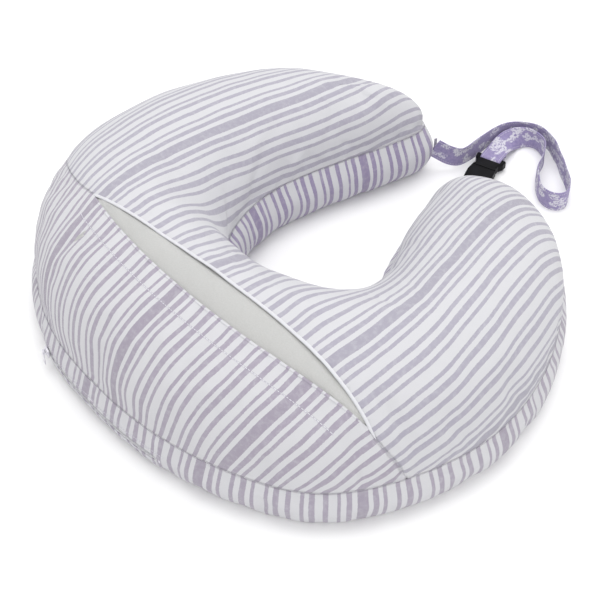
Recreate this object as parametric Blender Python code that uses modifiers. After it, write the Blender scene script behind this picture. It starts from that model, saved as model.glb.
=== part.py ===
"""Nursing pillow: a stuffed U-shaped cushion in a removable striped cover, with a waist strap and a buckle.

Frame: X runs from the left arm to the right arm, +Y points to the opening between the arm tips, +Z is up,
and the pillow lies on z = 0. Sizes are in millimetres here and become metres as each mesh is made.
The cover is a crowned top in two panels, which meet on a slit, an outer band, an inner wall and a flat base.
"""
import math

import bmesh
import bpy
import numpy as np
from mathutils import Matrix, Vector

# ---- driving sizes (mm) ----
PILLOW_WIDTH = 560.0
PILLOW_DEPTH = 499.0
BACK_HEIGHT = 157.0        # crest over the middle of the back
TIP_HEIGHT = 123.0         # crest at the arm tips
BAND_HEIGHT = 48.0         # outer boxing band, round the back
WALL_HEIGHT = 60.0         # inner wall, and the band where it reaches the tips
BAND_BULGE = 6.0
WALL_BULGE = 12.0
CROWN_POWER = 2.1          # superellipse exponent of the crowned top

COVER = 0.8                # printed cotton
HEM = 0.6                  # folded facing under the back lip of the slit
CASING = 0.6               # plain white casing of the insert
GAP = 0.3                  # between pieces that touch

# the slit in the crown, and the seam that carries on past its ends
SLIT_LEFT, SLIT_RIGHT = -128.0, 232.0
SLIT_Y_LEFT, SLIT_Y_RIGHT = -155.0, -135.0
SLIT_FRONT_BOW = 6.0       # how far the front lip stands off the seam line
SLIT_BACK_BOW = 30.0       # how far the back lip gapes
BINDING_WIDTH = 3.0
HEM_WIDTH = 20.0

# strap and buckle
STRAP_WIDTH = 25.0
STRAP_THICK = 1.6
STRAP_ROOT_Z = 29.0
BUCKLE_CENTRE = (-9.6, 280.3)
BUCKLE_HEADING = 107.5     # degrees from +X, from the socket's bar to the plug's bar
BUCKLE_LENGTH = 56.0
BUCKLE_WIDTH = 31.0
BUCKLE_THICK = 10.0
BUCKLE_Z = 7.2             # middle plane over the floor
SOCKET_LENGTH = 34.0
SOCKET_WALL = 1.8
BAR = 4.0                  # strap bar, square
BAR_SLOT = 3.8             # gap beside the bar that the strap passes through
FOLD_RUN = 16.0            # length of the sewn fold past the bar's middle
FOLD_RISE = 3.4            # height of the main strap over the buckle's middle plane
BLADE_WIDTH = 6.2          # the plug's middle tongue
PRONG_CLEAR = 0.4          # between the prongs and the socket's walls

# zip in the middle of the back of the band
ZIP_HALF_LENGTH = 95.0
ZIP_MIDDLE_X = -10.0
ZIP_Z = 22.0
ZIP_TAPE = 0.8
ZIP_TAPE_HEIGHT = 5.0
COIL_HEIGHT = 1.5
COIL_DEPTH = 1.6
SLIDER_LENGTH, SLIDER_HEIGHT, SLIDER_DEPTH = 9.0, 8.0, 2.6
PULL_LENGTH = 15.0
ZIP_TEETH = 75
SLIDER_STAND_OFF = 1.2     # from the band to the back of the slider

# Seam between crown and walls, anticlockwise from the end of the left arm: x, y, and the place along the
# crest line (0 at the left tip, 10 at the right tip) that the crown rises to from there.
DRAWN_WIDTH, DRAWN_DEPTH = 560.0, 499.0     # the pillow's size as OUTLINE and CREST give it
OUTLINE = [
    (-148, 213, 0), (-203, 182, 0.5), (-248, 125, 1.15), (-274, 45, 1.8), (-279, -35, 2.6),
    (-260, -110, 3.3), (-208, -181, 4.0), (-118, -236, 4.5), (-18, -253, 5.0), (87, -246, 5.6),
    (187, -210, 6.3), (245, -153, 6.9), (277, -62, 7.7), (275, 24, 8.3), (242, 110, 8.9),
    (177, 185, 9.45), (102, 214, 10), (43, 183, 10), (36, 141, 9.7), (62, 72, 9.1),
    (89, 18, 8.25), (87, -28, 7.55), (52, -57, 6.6), (-12, -65, 5.0), (-68, -42, 3.9),
    (-93, 12, 2.7), (-96, 72, 1.75), (-80, 150, 0.75), (-66, 212, 0), (-70, 246, 0), (-104, 235, 0),
]
RIGHT_TIP_START, RIGHT_TIP_END = 16, 17     # rows of OUTLINE between which the crest stays at 10
LEFT_TIP_START = 28                         # from this row to the first, the crest stays at 0
BAND_FROM, BAND_TO = 29, 17                 # the band runs from the left inner corner to the right one
SEAM_STEP = 0.02                            # gap between band and inner wall, in OUTLINE rows
WALL_LEVELS = 5
CROWN_STEPS, RIGHT_STEPS, LEFT_STEPS = 42, 3, 7    # stations along each arm side and round each tip
TAB_ROOT = 17.0                             # where the short strap is sewn to the right tip
CREST = [
    (-126, 162), (-168, 107), (-188, 25), (-170, -60), (-113, -127), (-8, -157),
    (97, -132), (164, -68), (185, 10), (162, 90), (97, 138),
]

# Routes of the strap's middle line: x, y, height, and the roll of its width (90 on edge, 0 flat).
STRAP_ROOT_ROUTE = [(-52, 262, 21.5, 90), (-44, 271.5, 15.6, 90), (-40, 281, 13.5, 90), (-39.2, 286.4, 13.3, 90)]
STRAP_LOOP_ROUTE = [
    (-39.2, 287.6, 13.3, 90), (-40.5, 305, 13.2, 90), (-42, 325, 13.2, 90), (-40, 345, 13.2, 90),
    (-31, 363, 13.2, 90), (-12, 375, 13.2, 90), (11, 373, 13.2, 90), (33, 361, 13.2, 90),
    (53, 347, 13.2, 90), (70, 335, 13.2, 90), (82, 323, 13.2, 90), (88, 311, 13.2, 90),
    (85, 301, 13.2, 90), (75, 296, 13.2, 90), (62, 298, 13.2, 90), (50, 307, 13.2, 90),
    (38, 320, 13.2, 90), (29, 337, 13.2, 90), (20, 353, 13.2, 90), (7, 363, 13.2, 90),
    (-8, 364, 13.2, 85), (-19, 356, 12.8, 68), (-24.4, 344, 11.8, 38), (-24.6, 332, 11, 12),
    (-22.5, 321.6, 10.6, 0),
]
STRAP_TAB_ROUTE = [(26, 209, 25, 84), (15, 222, 17, 58), (8, 229, 12.2, 26), (3.9, 237.8, 10.6, 2)]


# ---- plan of the pillow ----
def closed_spline(points, t):
    """Smooth closed curve through points; t counts points and wraps round."""
    v = np.asarray(points, float)
    n = len(v)
    i = np.arange(n)
    a = np.zeros((n, n))
    a[i, i] = 4
    a[i, (i + 1) % n] = 1
    a[i, i - 1] = 1
    m = np.linalg.solve(a, 6 * (np.roll(v, -1, 0) - 2 * v + np.roll(v, 1, 0)))
    t = np.atleast_1d(np.asarray(t, float))
    k = np.floor(t).astype(int)
    u = (t - k)[:, None]
    k, k1 = k % n, (k + 1) % n
    return v[k] * (1 - u) + v[k1] * u - u * (1 - u) / 6 * ((2 - u) * m[k] + (1 + u) * m[k1])


def open_spline(points, t):
    """Smooth open curve through points, with relaxed ends; t runs from 0 to len(points) - 1."""
    v = np.asarray(points, float)
    n = len(v)
    a = np.eye(n)
    b = np.zeros_like(v)
    for i in range(1, n - 1):
        a[i, i - 1:i + 2] = 1, 4, 1
        b[i] = 6 * (v[i + 1] - 2 * v[i] + v[i - 1])
    m = np.linalg.solve(a, b)
    t = np.atleast_1d(np.asarray(t, float))
    k = np.clip(np.floor(t).astype(int), 0, n - 2)
    u = (t - k)[:, None]
    return v[k] * (1 - u) + v[k + 1] * u - u * (1 - u) / 6 * ((2 - u) * m[k] + (1 + u) * m[k + 1])


ROWS = len(OUTLINE)
PLAN_SCALE = np.array([PILLOW_WIDTH / DRAWN_WIDTH, PILLOW_DEPTH / DRAWN_DEPTH])
OUTLINE_XY = np.array([row[:2] for row in OUTLINE], float) * PLAN_SCALE
OUTLINE_LEVEL = np.array([row[2] for row in OUTLINE] + [OUTLINE[0][2]], float)
CREST_XY = np.array(CREST, float) * PLAN_SCALE


def smooth(x):
    x = np.clip(x, 0, 1)
    return x * x * (3 - 2 * x)


def seam(t):
    """Plan point of the crown seam, and the outward direction there."""
    t = np.atleast_1d(np.asarray(t, float))
    point = closed_spline(OUTLINE_XY, t)
    along = closed_spline(OUTLINE_XY, t + 0.02) - closed_spline(OUTLINE_XY, t - 0.02)
    along /= np.linalg.norm(along, axis=1)[:, None]
    return point, np.stack([along[:, 1], -along[:, 0]], 1)


def inner_share(t):
    """0 on the outer band, 1 on the inner wall, easing over at the tips."""
    t = np.mod(np.asarray(t, float), ROWS)
    return smooth((t - RIGHT_TIP_START) / 3) * (1 - smooth((t - LEFT_TIP_START) / 3))


def wall_height(t):
    point, _ = seam(t)
    towards_tip = smooth((point[:, 1] - 40) / 150)
    share = np.maximum(inner_share(t), towards_tip)
    return BAND_HEIGHT + (WALL_HEIGHT - BAND_HEIGHT) * share


def wall_bulge(t):
    return BAND_BULGE + (WALL_BULGE - BAND_BULGE) * inner_share(t)


def crest_height(crest_point):
    """The crest falls steadily from the back to the arm tips."""
    back, tip = CREST_XY[:, 1].min(), CREST_XY[0, 1]
    return BACK_HEIGHT + (TIP_HEIGHT - BACK_HEIGHT) * (crest_point[:, 1] - back) / (tip - back)


def seam_stations(steps, right_steps, left_steps):
    """Places round the seam whose crest points pair up across the crown: t values and crest levels."""
    rows = np.arange(ROWS + 1)
    level = np.linspace(0, 10, steps + 1)
    outer = np.interp(level, OUTLINE_LEVEL[:RIGHT_TIP_START + 1], rows[:RIGHT_TIP_START + 1])
    inner_rows = rows[RIGHT_TIP_END:LEFT_TIP_START + 1][::-1]
    inner = np.interp(level, OUTLINE_LEVEL[inner_rows], inner_rows)[::-1]
    right = np.linspace(RIGHT_TIP_START, RIGHT_TIP_END, right_steps + 2)[1:-1]
    left = np.linspace(LEFT_TIP_START, ROWS, left_steps + 2)[1:-1]
    t = np.concatenate([outer, right, inner, left])
    crest = np.concatenate([np.arange(steps + 1), np.full(right_steps, steps),
                            np.arange(steps, -1, -1), np.zeros(left_steps, int)]).astype(int)
    return t, crest, level


def wall_points(t, z, inset):
    """Points of a wall layer at heights z (one row of heights for each t)."""
    point, outward = seam(t)
    top = wall_height(t)
    bulge = wall_bulge(t)[:, None] * np.sin(math.pi * np.clip(z / top[:, None], 0, 1))
    out = np.zeros(z.shape + (3,))
    out[..., :2] = point[:, None] + outward[:, None] * (bulge - inset)[..., None]
    out[..., 2] = z
    return out


# ---- building helpers ----
def material(name, colour, roughness, metallic=0.0):
    mat = bpy.data.materials.new(name)
    mat.use_nodes = True
    shader = mat.node_tree.nodes["Principled BSDF"]
    shader.inputs["Base Color"].default_value = (*colour, 1)
    shader.inputs["Roughness"].default_value = roughness
    shader.inputs["Metallic"].default_value = metallic
    return mat


def new_object(name, mesh, mat, collection):
    obj = bpy.data.objects.new(name, mesh)
    if mat:
        mesh.materials.append(mat)
    collection.objects.link(obj)
    return obj


def joint_axis(name, place, collection):
    """Empty on a joint's axis, for the piece that turns about it."""
    axis = bpy.data.objects.new(name, None)
    axis.location = place
    collection.objects.link(axis)
    return axis


def mesh_from(name, points, faces):
    """Mesh from points in mm, welded where they coincide."""
    mesh = bpy.data.meshes.new(name)
    corners = [tuple(p) for p in np.asarray(points, float) / 1000]
    mesh.from_pydata(corners, [], [tuple(map(int, f)) for f in faces])
    bm = bmesh.new()
    bm.from_mesh(mesh)
    bmesh.ops.remove_doubles(bm, verts=bm.verts, dist=0.00002)
    bm.to_mesh(mesh)
    bm.free()
    mesh.update()
    return mesh


def grid_faces(rows, columns, start=0, closed=False):
    """Quads of a grid of rows by columns; closed joins the last row to the first."""
    faces = []
    for r in range(rows if closed else rows - 1):
        a, b = start + r * columns, start + (r + 1) % rows * columns
        faces += [(a + c, b + c, b + c + 1, a + c + 1) for c in range(columns - 1)]
    return faces


def solidify(obj, thickness):
    """Thicken an open surface inwards."""
    mod = obj.modifiers.new("Thickness", "SOLIDIFY")
    mod.thickness = thickness / 1000
    mod.offset = -1
    mod.use_even_offset = False
    return mod


def crown_grid(inset, levels=6):
    """Points and faces of the crowned top, inset by some mm from the cover's outer face."""
    t, crest, level = seam_stations(CROWN_STEPS, RIGHT_STEPS, LEFT_STEPS)
    point, outward = seam(t)
    edge = point - outward * inset
    crest_xy = open_spline(CREST_XY, level)
    crest_z = crest_height(crest_xy) - inset
    base = wall_height(t)
    points = []
    for k in range(len(t)):
        for a in np.linspace(0, math.pi / 2, levels)[:-1]:
            run = 1 - math.cos(a) ** (2 / CROWN_POWER)
            rise = math.sin(a) ** (2 / CROWN_POWER)
            top = crest_z[crest[k]]
            points.append((*(edge[k] + (crest_xy[crest[k]] - edge[k]) * run), base[k] + (top - base[k]) * rise))
    faces = grid_faces(len(t), levels - 1, closed=True)
    first_crest = len(points)
    points += [(*xy, z) for xy, z in zip(crest_xy, crest_z)]
    for k in range(len(t)):
        k1 = (k + 1) % len(t)
        last, last1 = k * (levels - 1) + levels - 2, k1 * (levels - 1) + levels - 2
        top, top1 = first_crest + crest[k], first_crest + crest[k1]
        faces.append((last, last1, top) if top == top1 else (last, last1, top1, top))
    return np.array(points), faces, t


def wall_stations(stations, start, stop):
    """The crown's own stations from start to stop, with the ends held back by the seam gap."""
    both = np.concatenate([stations, stations + ROWS])
    inside = both[(both > start + 2 * SEAM_STEP) & (both < stop - 2 * SEAM_STEP)]
    return np.unique(np.concatenate([[start + SEAM_STEP], inside, [stop - SEAM_STEP]]))


def wall_grid(t, bottom, top_gap, inset, levels, closed=False):
    """Points and faces of a stretch of wall from bottom up to just under the seam, facing outwards."""
    z = bottom + (wall_height(t) - top_gap - bottom)[:, None] * np.linspace(0, 1, levels)[None]
    points = wall_points(t, z, inset).reshape(-1, 3)
    return points, grid_faces(len(t), levels, closed=closed)


def plan_prism(name, outline, collection, low=-20.0, high=200.0):
    """Tall closed cutter over a plan outline in mm."""
    mesh = bpy.data.meshes.new(name)
    bm = bmesh.new()
    face = bm.faces.new([bm.verts.new((x / 1000, y / 1000, low / 1000)) for x, y in outline])
    sides = bmesh.ops.extrude_face_region(bm, geom=[face])
    lifted = [g for g in sides["geom"] if isinstance(g, bmesh.types.BMVert)]
    bmesh.ops.translate(bm, verts=lifted, vec=(0, 0, (high - low) / 1000))
    bmesh.ops.recalc_face_normals(bm, faces=bm.faces)
    bm.to_mesh(mesh)
    bm.free()
    cutter = new_object(name, mesh, None, collection)
    cutter.hide_render = True
    cutter.display_type = "WIRE"
    return cutter


def boolean(obj, cutter, operation):
    mod = obj.modifiers.new(operation.title(), "BOOLEAN")
    mod.operation = operation
    mod.solver = "EXACT"
    mod.object = cutter


def box(name, size, mat, collection, bevel=0.0):
    """Box of a size in mm, centred on its origin."""
    mesh = bpy.data.meshes.new(name)
    bm = bmesh.new()
    bmesh.ops.create_cube(bm, size=1)
    bmesh.ops.scale(bm, vec=Vector(size) / 1000, verts=bm.verts)
    if bevel:
        bmesh.ops.bevel(bm, geom=bm.edges[:], offset=bevel / 1000, segments=2, affect="EDGES", profile=0.5)
    bm.to_mesh(mesh)
    bm.free()
    return new_object(name, mesh, mat, collection)


def box_cutter(name, size, place, turn, collection):
    cutter = box(name, size, None, collection)
    cutter.matrix_world = Matrix.Translation(Vector(place) / 1000) @ turn
    cutter.hide_render = True
    cutter.display_type = "WIRE"
    return cutter


def ribbon(name, route, across, mat, collection, width=STRAP_WIDTH, thick=STRAP_THICK):
    """Flat strap along a route, with its width along the direction given at each point."""
    route, across = np.asarray(route, float), np.asarray(across, float)
    along = np.gradient(route, axis=0)
    along /= np.linalg.norm(along, axis=1)[:, None]
    across = across - (across * along).sum(1)[:, None] * along
    across /= np.linalg.norm(across, axis=1)[:, None]
    face = np.cross(along, across)
    corners = [(-0.5, -0.5), (0.5, -0.5), (0.5, 0.5), (-0.5, 0.5)]
    rings = [route + across * (width * a) + face * (thick * b) for a, b in corners]
    points = np.stack(rings, 1).reshape(-1, 3)
    n = len(route)
    faces = [(r * 4 + c, r * 4 + (c + 1) % 4, (r + 1) * 4 + (c + 1) % 4, (r + 1) * 4 + c)
             for r in range(n - 1) for c in range(4)]
    faces += [(3, 2, 1, 0), tuple(4 * (n - 1) + c for c in range(4))]
    mesh = mesh_from(name, points, faces)
    bm = bmesh.new()
    bm.from_mesh(mesh)
    bmesh.ops.recalc_face_normals(bm, faces=bm.faces)
    bm.to_mesh(mesh)
    bm.free()
    return new_object(name, mesh, mat, collection)


def rolled(route, points_per_span=3):
    """Smooth route and width directions from points that carry a roll angle."""
    data = open_spline(route, np.linspace(0, len(route) - 1, (len(route) - 1) * points_per_span + 1))
    along = np.gradient(data[:, :2], axis=0)
    along /= np.linalg.norm(along, axis=1)[:, None]
    level = np.stack([along[:, 1], -along[:, 0], np.zeros(len(along))], 1)
    roll = np.radians(data[:, 3])[:, None]
    return data[:, :3], level * np.cos(roll) + np.array([0, 0, 1.0]) * np.sin(roll)


# ---- slit ----
def slit_lip(bow, x):
    """Plan line of one lip of the slit, which rejoins the seam at both ends and runs on with it."""
    x = np.asarray(x, float)
    share = np.clip((x - SLIT_LEFT) / (SLIT_RIGHT - SLIT_LEFT), 0, 1)
    line = SLIT_Y_LEFT + (SLIT_Y_RIGHT - SLIT_Y_LEFT) * share
    line = line + 0.0032 * np.maximum(SLIT_LEFT - x, 0) ** 2 + 0.02 * np.maximum(x - SLIT_RIGHT, 0) ** 2
    return line + bow * np.sin(math.pi * share) ** 0.8


def lip_points(bow, shift, left=SLIT_LEFT - 165, right=SLIT_RIGHT + 62, count=40):
    x = np.linspace(left, right, count)
    return list(zip(x, slit_lip(bow, x) + shift))


# ---- cover and insert ----
def make_cover(parts, cutters):
    cotton = material("printed_cotton", (0.74, 0.72, 0.80), 0.85)
    white = material("white_cotton", (0.86, 0.86, 0.84), 0.9)
    beyond = PILLOW_WIDTH
    front_edge = lip_points(SLIT_FRONT_BOW, GAP / 2)
    back_edge = lip_points(-SLIT_BACK_BOW, -GAP / 2)
    front = plan_prism("cut_front", front_edge + [(beyond, beyond), (-beyond, beyond)], cutters)
    back = plan_prism("cut_back", back_edge[::-1] + [(-beyond, -beyond), (beyond, -beyond)], cutters)

    points, faces, _ = crown_grid(0)
    for name, region in (("cover_top_front", front), ("cover_top_back", back)):
        top = new_object(name, mesh_from(name, points, faces), cotton, parts)
        solidify(top, COVER)
        boolean(top, region, "INTERSECT")

    inner = {"left": SLIT_LEFT + 4, "right": SLIT_RIGHT - 4, "count": 30}
    upper = lip_points(SLIT_FRONT_BOW, -GAP / 2, **inner)
    lower = lip_points(SLIT_FRONT_BOW, -GAP / 2 - BINDING_WIDTH, **inner)
    strip = plan_prism("cut_binding", upper[::-1] + lower, cutters)
    clear = plan_prism("cut_binding_clear", lip_points(-SLIT_BACK_BOW, GAP / 2)[::-1]
                       + [(-beyond, -beyond), (beyond, -beyond)], cutters)
    binding = new_object("slit_binding", mesh_from("slit_binding", points, faces), white, parts)
    solidify(binding, COVER + 0.4)
    boolean(binding, strip, "INTERSECT")
    boolean(binding, clear, "DIFFERENCE")

    points, faces, _ = crown_grid(COVER + GAP)
    upper = lip_points(-SLIT_BACK_BOW, -0.4, **inner)
    lower = lip_points(-SLIT_BACK_BOW, -HEM_WIDTH, **inner)
    strip = plan_prism("cut_hem", upper[::-1] + lower, cutters)
    hem = new_object("slit_hem", mesh_from("slit_hem", points, faces), cotton, parts)
    solidify(hem, HEM)
    boolean(hem, strip, "INTERSECT")

    stations = np.mod(seam_stations(CROWN_STEPS, RIGHT_STEPS, LEFT_STEPS)[0], ROWS)
    band_t = wall_stations(stations, BAND_FROM, BAND_TO + ROWS)
    wall_t = wall_stations(stations, BAND_TO, BAND_FROM)
    points, faces = wall_grid(band_t, 0.6, GAP, 0, WALL_LEVELS)
    band = new_object("cover_side_band", mesh_from("cover_side_band", points, faces), cotton, parts)
    solidify(band, COVER)
    window = box_cutter("cut_zip_window", (2 * ZIP_HALF_LENGTH + 6, 60, 2 * (ZIP_TAPE_HEIGHT + COIL_HEIGHT) + 1),
                        (ZIP_MIDDLE_X, OUTLINE_XY[:, 1].min() + 4, ZIP_Z), Matrix.Identity(4), cutters)
    boolean(band, window, "DIFFERENCE")
    points, faces = wall_grid(wall_t, 0.6, GAP, 0, WALL_LEVELS)
    wall = new_object("cover_inner_wall", mesh_from("cover_inner_wall", points, faces), cotton, parts)
    solidify(wall, COVER)

    base_t = np.concatenate([band_t, wall_t])
    point, outward = seam(base_t)
    base = flat_panel("cover_bottom_panel", point - outward * (COVER + GAP), 0, COVER)
    new_object("cover_bottom_panel", base, cotton, parts)


def flat_panel(name, outline, low, thickness):
    """Flat sheet with a plan outline, made as a filled curve."""
    curve = bpy.data.curves.new(name, "CURVE")
    curve.dimensions = "2D"
    curve.fill_mode = "BOTH"
    curve.extrude = thickness / 2000
    spline = curve.splines.new("POLY")
    spline.points.add(len(outline) - 1)
    for slot, (x, y) in zip(spline.points, outline):
        slot.co = (x / 1000, y / 1000, 0, 1)
    spline.use_cyclic_u = True
    guide = bpy.data.objects.new(name + "_curve", curve)
    bpy.context.scene.collection.objects.link(guide)
    bpy.context.view_layer.update()
    mesh = bpy.data.meshes.new_from_object(guide.evaluated_get(bpy.context.evaluated_depsgraph_get()))
    bpy.data.objects.remove(guide)
    bm = bmesh.new()
    bm.from_mesh(mesh)
    bmesh.ops.remove_doubles(bm, verts=bm.verts, dist=0.00002)
    bmesh.ops.translate(bm, verts=bm.verts, vec=(0, 0, (low + thickness / 2) / 1000))
    bmesh.ops.recalc_face_normals(bm, faces=bm.faces)
    bm.to_mesh(mesh)
    bm.free()
    return mesh


def make_insert(parts):
    white = material("insert_casing", (0.80, 0.80, 0.78), 0.9)
    fibre = material("fibre_filling", (0.90, 0.90, 0.90), 1.0)
    casing_inset = COVER + GAP + HEM + GAP
    points, faces, t = crown_grid(casing_inset)
    top = new_object("insert_casing_top", mesh_from("insert_casing_top", points, faces), white, parts)
    solidify(top, CASING)

    z_low = COVER + GAP
    wall, wall_faces = wall_grid(t, z_low, GAP, casing_inset, WALL_LEVELS, closed=True)
    n = len(t)
    shell = mesh_from("insert_casing_base", *close_bottom(wall, wall_faces, n, WALL_LEVELS))
    solidify(new_object("insert_casing_base", shell, white, parts), CASING)

    core_inset = casing_inset + CASING + GAP
    crown, crown_faces, _ = crown_grid(core_inset)
    wall, wall_faces = wall_grid(t, z_low + CASING + GAP, 0, core_inset, WALL_LEVELS, closed=True)
    lower, lower_faces = close_bottom(wall, wall_faces, n, WALL_LEVELS)
    shift = len(crown)
    points = np.concatenate([crown, lower])
    faces = crown_faces + [tuple(i + shift for i in f) for f in lower_faces]
    new_object("fibre_filling", mesh_from("fibre_filling", points, faces), fibre, parts)


def close_bottom(wall, faces, count, levels):
    """Add a flat floor between paired stations of a closed ring of wall."""
    steps, right = CROWN_STEPS, RIGHT_STEPS
    low = [k * levels for k in range(count)]
    inner_first = steps + 1 + right
    floor = []
    for k in range(steps):
        a, b = low[k], low[k + 1]
        c, d = low[inner_first + steps - k - 1], low[inner_first + steps - k]
        floor.append((b, a, d, c))
    right_ring = [low[k] for k in range(steps, inner_first + 1)]
    left_ring = [low[k] for k in range(inner_first + steps, count)] + [low[0]]
    floor.append(tuple(right_ring[::-1]))
    floor.append(tuple(left_ring[::-1]))
    return wall, faces + floor


# ---- zip ----
def zip_curve(x):
    """Plan point on the seam at a given x along the back, and the outward direction."""
    t = np.linspace(6, 11, 400)
    point, outward = seam(t)
    at = np.interp(x, point[:, 0], t)
    return seam(at)


def zip_sweep(name, x, low, high, near, far, mat, parts):
    """Bar of constant section that follows the back of the band."""
    point, outward = zip_curve(x)
    corners = []
    for z, out in ((low, near), (low, far), (high, far), (high, near)):
        out = np.broadcast_to(out, x.shape)
        corners.append(np.column_stack([point + outward * out[:, None], np.full(len(x), z)]))
    points = np.stack(corners, 1).reshape(-1, 3)
    n = len(x)
    faces = [(r * 4 + c, (r + 1) * 4 + c, (r + 1) * 4 + (c + 1) % 4, r * 4 + (c + 1) % 4)
             for r in range(n - 1) for c in range(4)]
    faces += [(0, 1, 2, 3), tuple(4 * (n - 1) + c for c in (3, 2, 1, 0))]
    mesh = mesh_from(name, points, faces)
    bm = bmesh.new()
    bm.from_mesh(mesh)
    bmesh.ops.recalc_face_normals(bm, faces=bm.faces)
    bm.to_mesh(mesh)
    bm.free()
    return new_object(name, mesh, mat, parts)


def zip_arc_centre():
    """Centre of the circle through the two ends and the middle of the zip."""
    ends, _ = zip_curve(np.array([-1.0, 0.0, 1.0]) * ZIP_HALF_LENGTH + ZIP_MIDDLE_X)
    a = 2 * (ends[1:] - ends[:1])
    b = (ends[1:] ** 2).sum(1) - (ends[:1] ** 2).sum(1)
    return np.linalg.solve(a, b)


def make_zip(parts):
    tape = material("zip_tape", (0.88, 0.88, 0.87), 0.8)
    plastic = material("zip_plastic", (0.85, 0.85, 0.85), 0.4)
    metal = material("zip_metal", (0.75, 0.75, 0.76), 0.3, 1.0)
    surface = BAND_BULGE * math.sin(math.pi * ZIP_Z / BAND_HEIGHT)
    x = np.linspace(-ZIP_HALF_LENGTH, ZIP_HALF_LENGTH, 40) + ZIP_MIDDLE_X
    inner_edge = COIL_HEIGHT + 0.15
    outer_edge = inner_edge + GAP + ZIP_TAPE_HEIGHT - 0.8
    for name, low, high in (("zip_tape_upper", ZIP_Z + inner_edge + GAP, ZIP_Z + outer_edge),
                            ("zip_tape_lower", ZIP_Z - outer_edge, ZIP_Z - inner_edge - GAP)):
        zip_sweep(name, x, low, high, surface - 0.2 - ZIP_TAPE, surface - 0.2, tape, parts)
    teeth = np.linspace(-ZIP_HALF_LENGTH + 4, ZIP_HALF_LENGTH - 4, ZIP_TEETH) + ZIP_MIDDLE_X
    depth = surface + np.where(np.arange(ZIP_TEETH) % 2, 0.5, 0.0)
    for name, low, high in (("zip_coil_upper", ZIP_Z + 0.15, ZIP_Z + inner_edge),
                            ("zip_coil_lower", ZIP_Z - inner_edge, ZIP_Z - 0.15)):
        zip_sweep(name, teeth, low, high, surface - COIL_DEPTH + 0.5, depth, plastic, parts)
    for name, side in (("zip_stop_left", -1), ("zip_stop_right", 1)):
        ends = side * np.array([ZIP_HALF_LENGTH - 3.5, ZIP_HALF_LENGTH - 1.5]) + ZIP_MIDDLE_X
        stop_x = np.linspace(ends.min(), ends.max(), 2)
        zip_sweep(name, stop_x, ZIP_Z - inner_edge, ZIP_Z + inner_edge, surface - 1.0, surface + 1.2, metal, parts)

    centre = zip_arc_centre()
    start = np.array([-ZIP_HALF_LENGTH + 4.5 + SLIDER_LENGTH / 2 + ZIP_MIDDLE_X])
    point, outward = zip_curve(start)
    point, outward = point[0], outward[0]
    turn = Matrix.Rotation(math.atan2(outward[1], outward[0]), 4, "Z")
    axis = joint_axis("zip_slider_axis", Vector((*centre, ZIP_Z)) / 1000, parts)
    place = Vector((*(point + outward * (surface + SLIDER_STAND_OFF + SLIDER_DEPTH / 2)), ZIP_Z)) / 1000
    body = box("zip_slider", (SLIDER_DEPTH, SLIDER_LENGTH, SLIDER_HEIGHT), metal, parts, bevel=0.5)
    posts = []
    for side in (-1, 1):
        post = box("post", (3.4, 1.0, 1.6), None, parts)
        post.matrix_world = Matrix.Translation((SLIDER_DEPTH / 2000 + 0.0012, side * 0.0029, 0.001))
        posts.append(post)
    bar_mesh = bpy.data.meshes.new("bar")
    bm = bmesh.new()
    turn_bar = Matrix.Rotation(math.pi / 2, 4, "X")
    bmesh.ops.create_cone(bm, cap_ends=True, segments=12, radius1=0.0006, radius2=0.0006, depth=0.006,
                          matrix=Matrix.Translation((SLIDER_DEPTH / 2000 + 0.0022, 0, 0.001)) @ turn_bar)
    bm.to_mesh(bar_mesh)
    bm.free()
    posts.append(new_object("bar", bar_mesh, None, parts))
    merge_into(body, posts)
    frame = Matrix.Translation(place) @ turn
    body.parent = axis
    body.matrix_world = frame

    hinge = frame @ Vector((SLIDER_DEPTH / 2000 + 0.0022, 0, 0.001))
    swing = joint_axis("zip_pull_axis", hinge, parts)
    mesh = bpy.data.meshes.new("zip_pull")
    bm = bmesh.new()
    bmesh.ops.create_cone(bm, cap_ends=True, segments=20, radius1=0.0017, radius2=0.0017, depth=0.0040, matrix=turn_bar)
    bm.to_mesh(mesh)
    bm.free()
    pull = new_object("zip_pull", mesh, metal, parts)
    tab = box("tab", (1.2, 5.0, PULL_LENGTH), None, parts, bevel=0.3)
    tab.matrix_world = Matrix.Translation((0.0008, 0, -PULL_LENGTH / 2000 - 0.0004))
    merge_into(pull, [tab])
    eye = bpy.data.meshes.new("eye")
    bm = bmesh.new()
    bmesh.ops.create_cone(bm, cap_ends=True, segments=20, radius1=0.001, radius2=0.001, depth=0.01, matrix=turn_bar)
    bm.to_mesh(eye)
    bm.free()
    hole = new_object("hole", eye, None, parts)
    cut_from(pull, [hole])
    pull.parent = swing
    pull.matrix_world = Matrix.Translation(hinge) @ turn


def apply_booleans(obj):
    bpy.context.view_layer.update()
    done = bpy.data.meshes.new_from_object(obj.evaluated_get(bpy.context.evaluated_depsgraph_get()))
    obj.modifiers.clear()
    obj.data = done


def merge_into(obj, others):
    for other in others:
        boolean(obj, other, "UNION")
    apply_booleans(obj)
    for other in others:
        bpy.data.objects.remove(other)


def cut_from(obj, others):
    for other in others:
        boolean(obj, other, "DIFFERENCE")
    apply_booleans(obj)
    for other in others:
        bpy.data.objects.remove(other)


# ---- buckle: its own frame has +X from the socket's bar to the plug's bar, and z = 0 in the middle plane ----
BUCKLE_FRAME = (Matrix.Translation(Vector((*BUCKLE_CENTRE, BUCKLE_Z)) / 1000)
                @ Matrix.Rotation(math.radians(BUCKLE_HEADING), 4, "Z")
                @ Matrix.Translation((-BUCKLE_LENGTH / 2000, 0, 0)))


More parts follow.
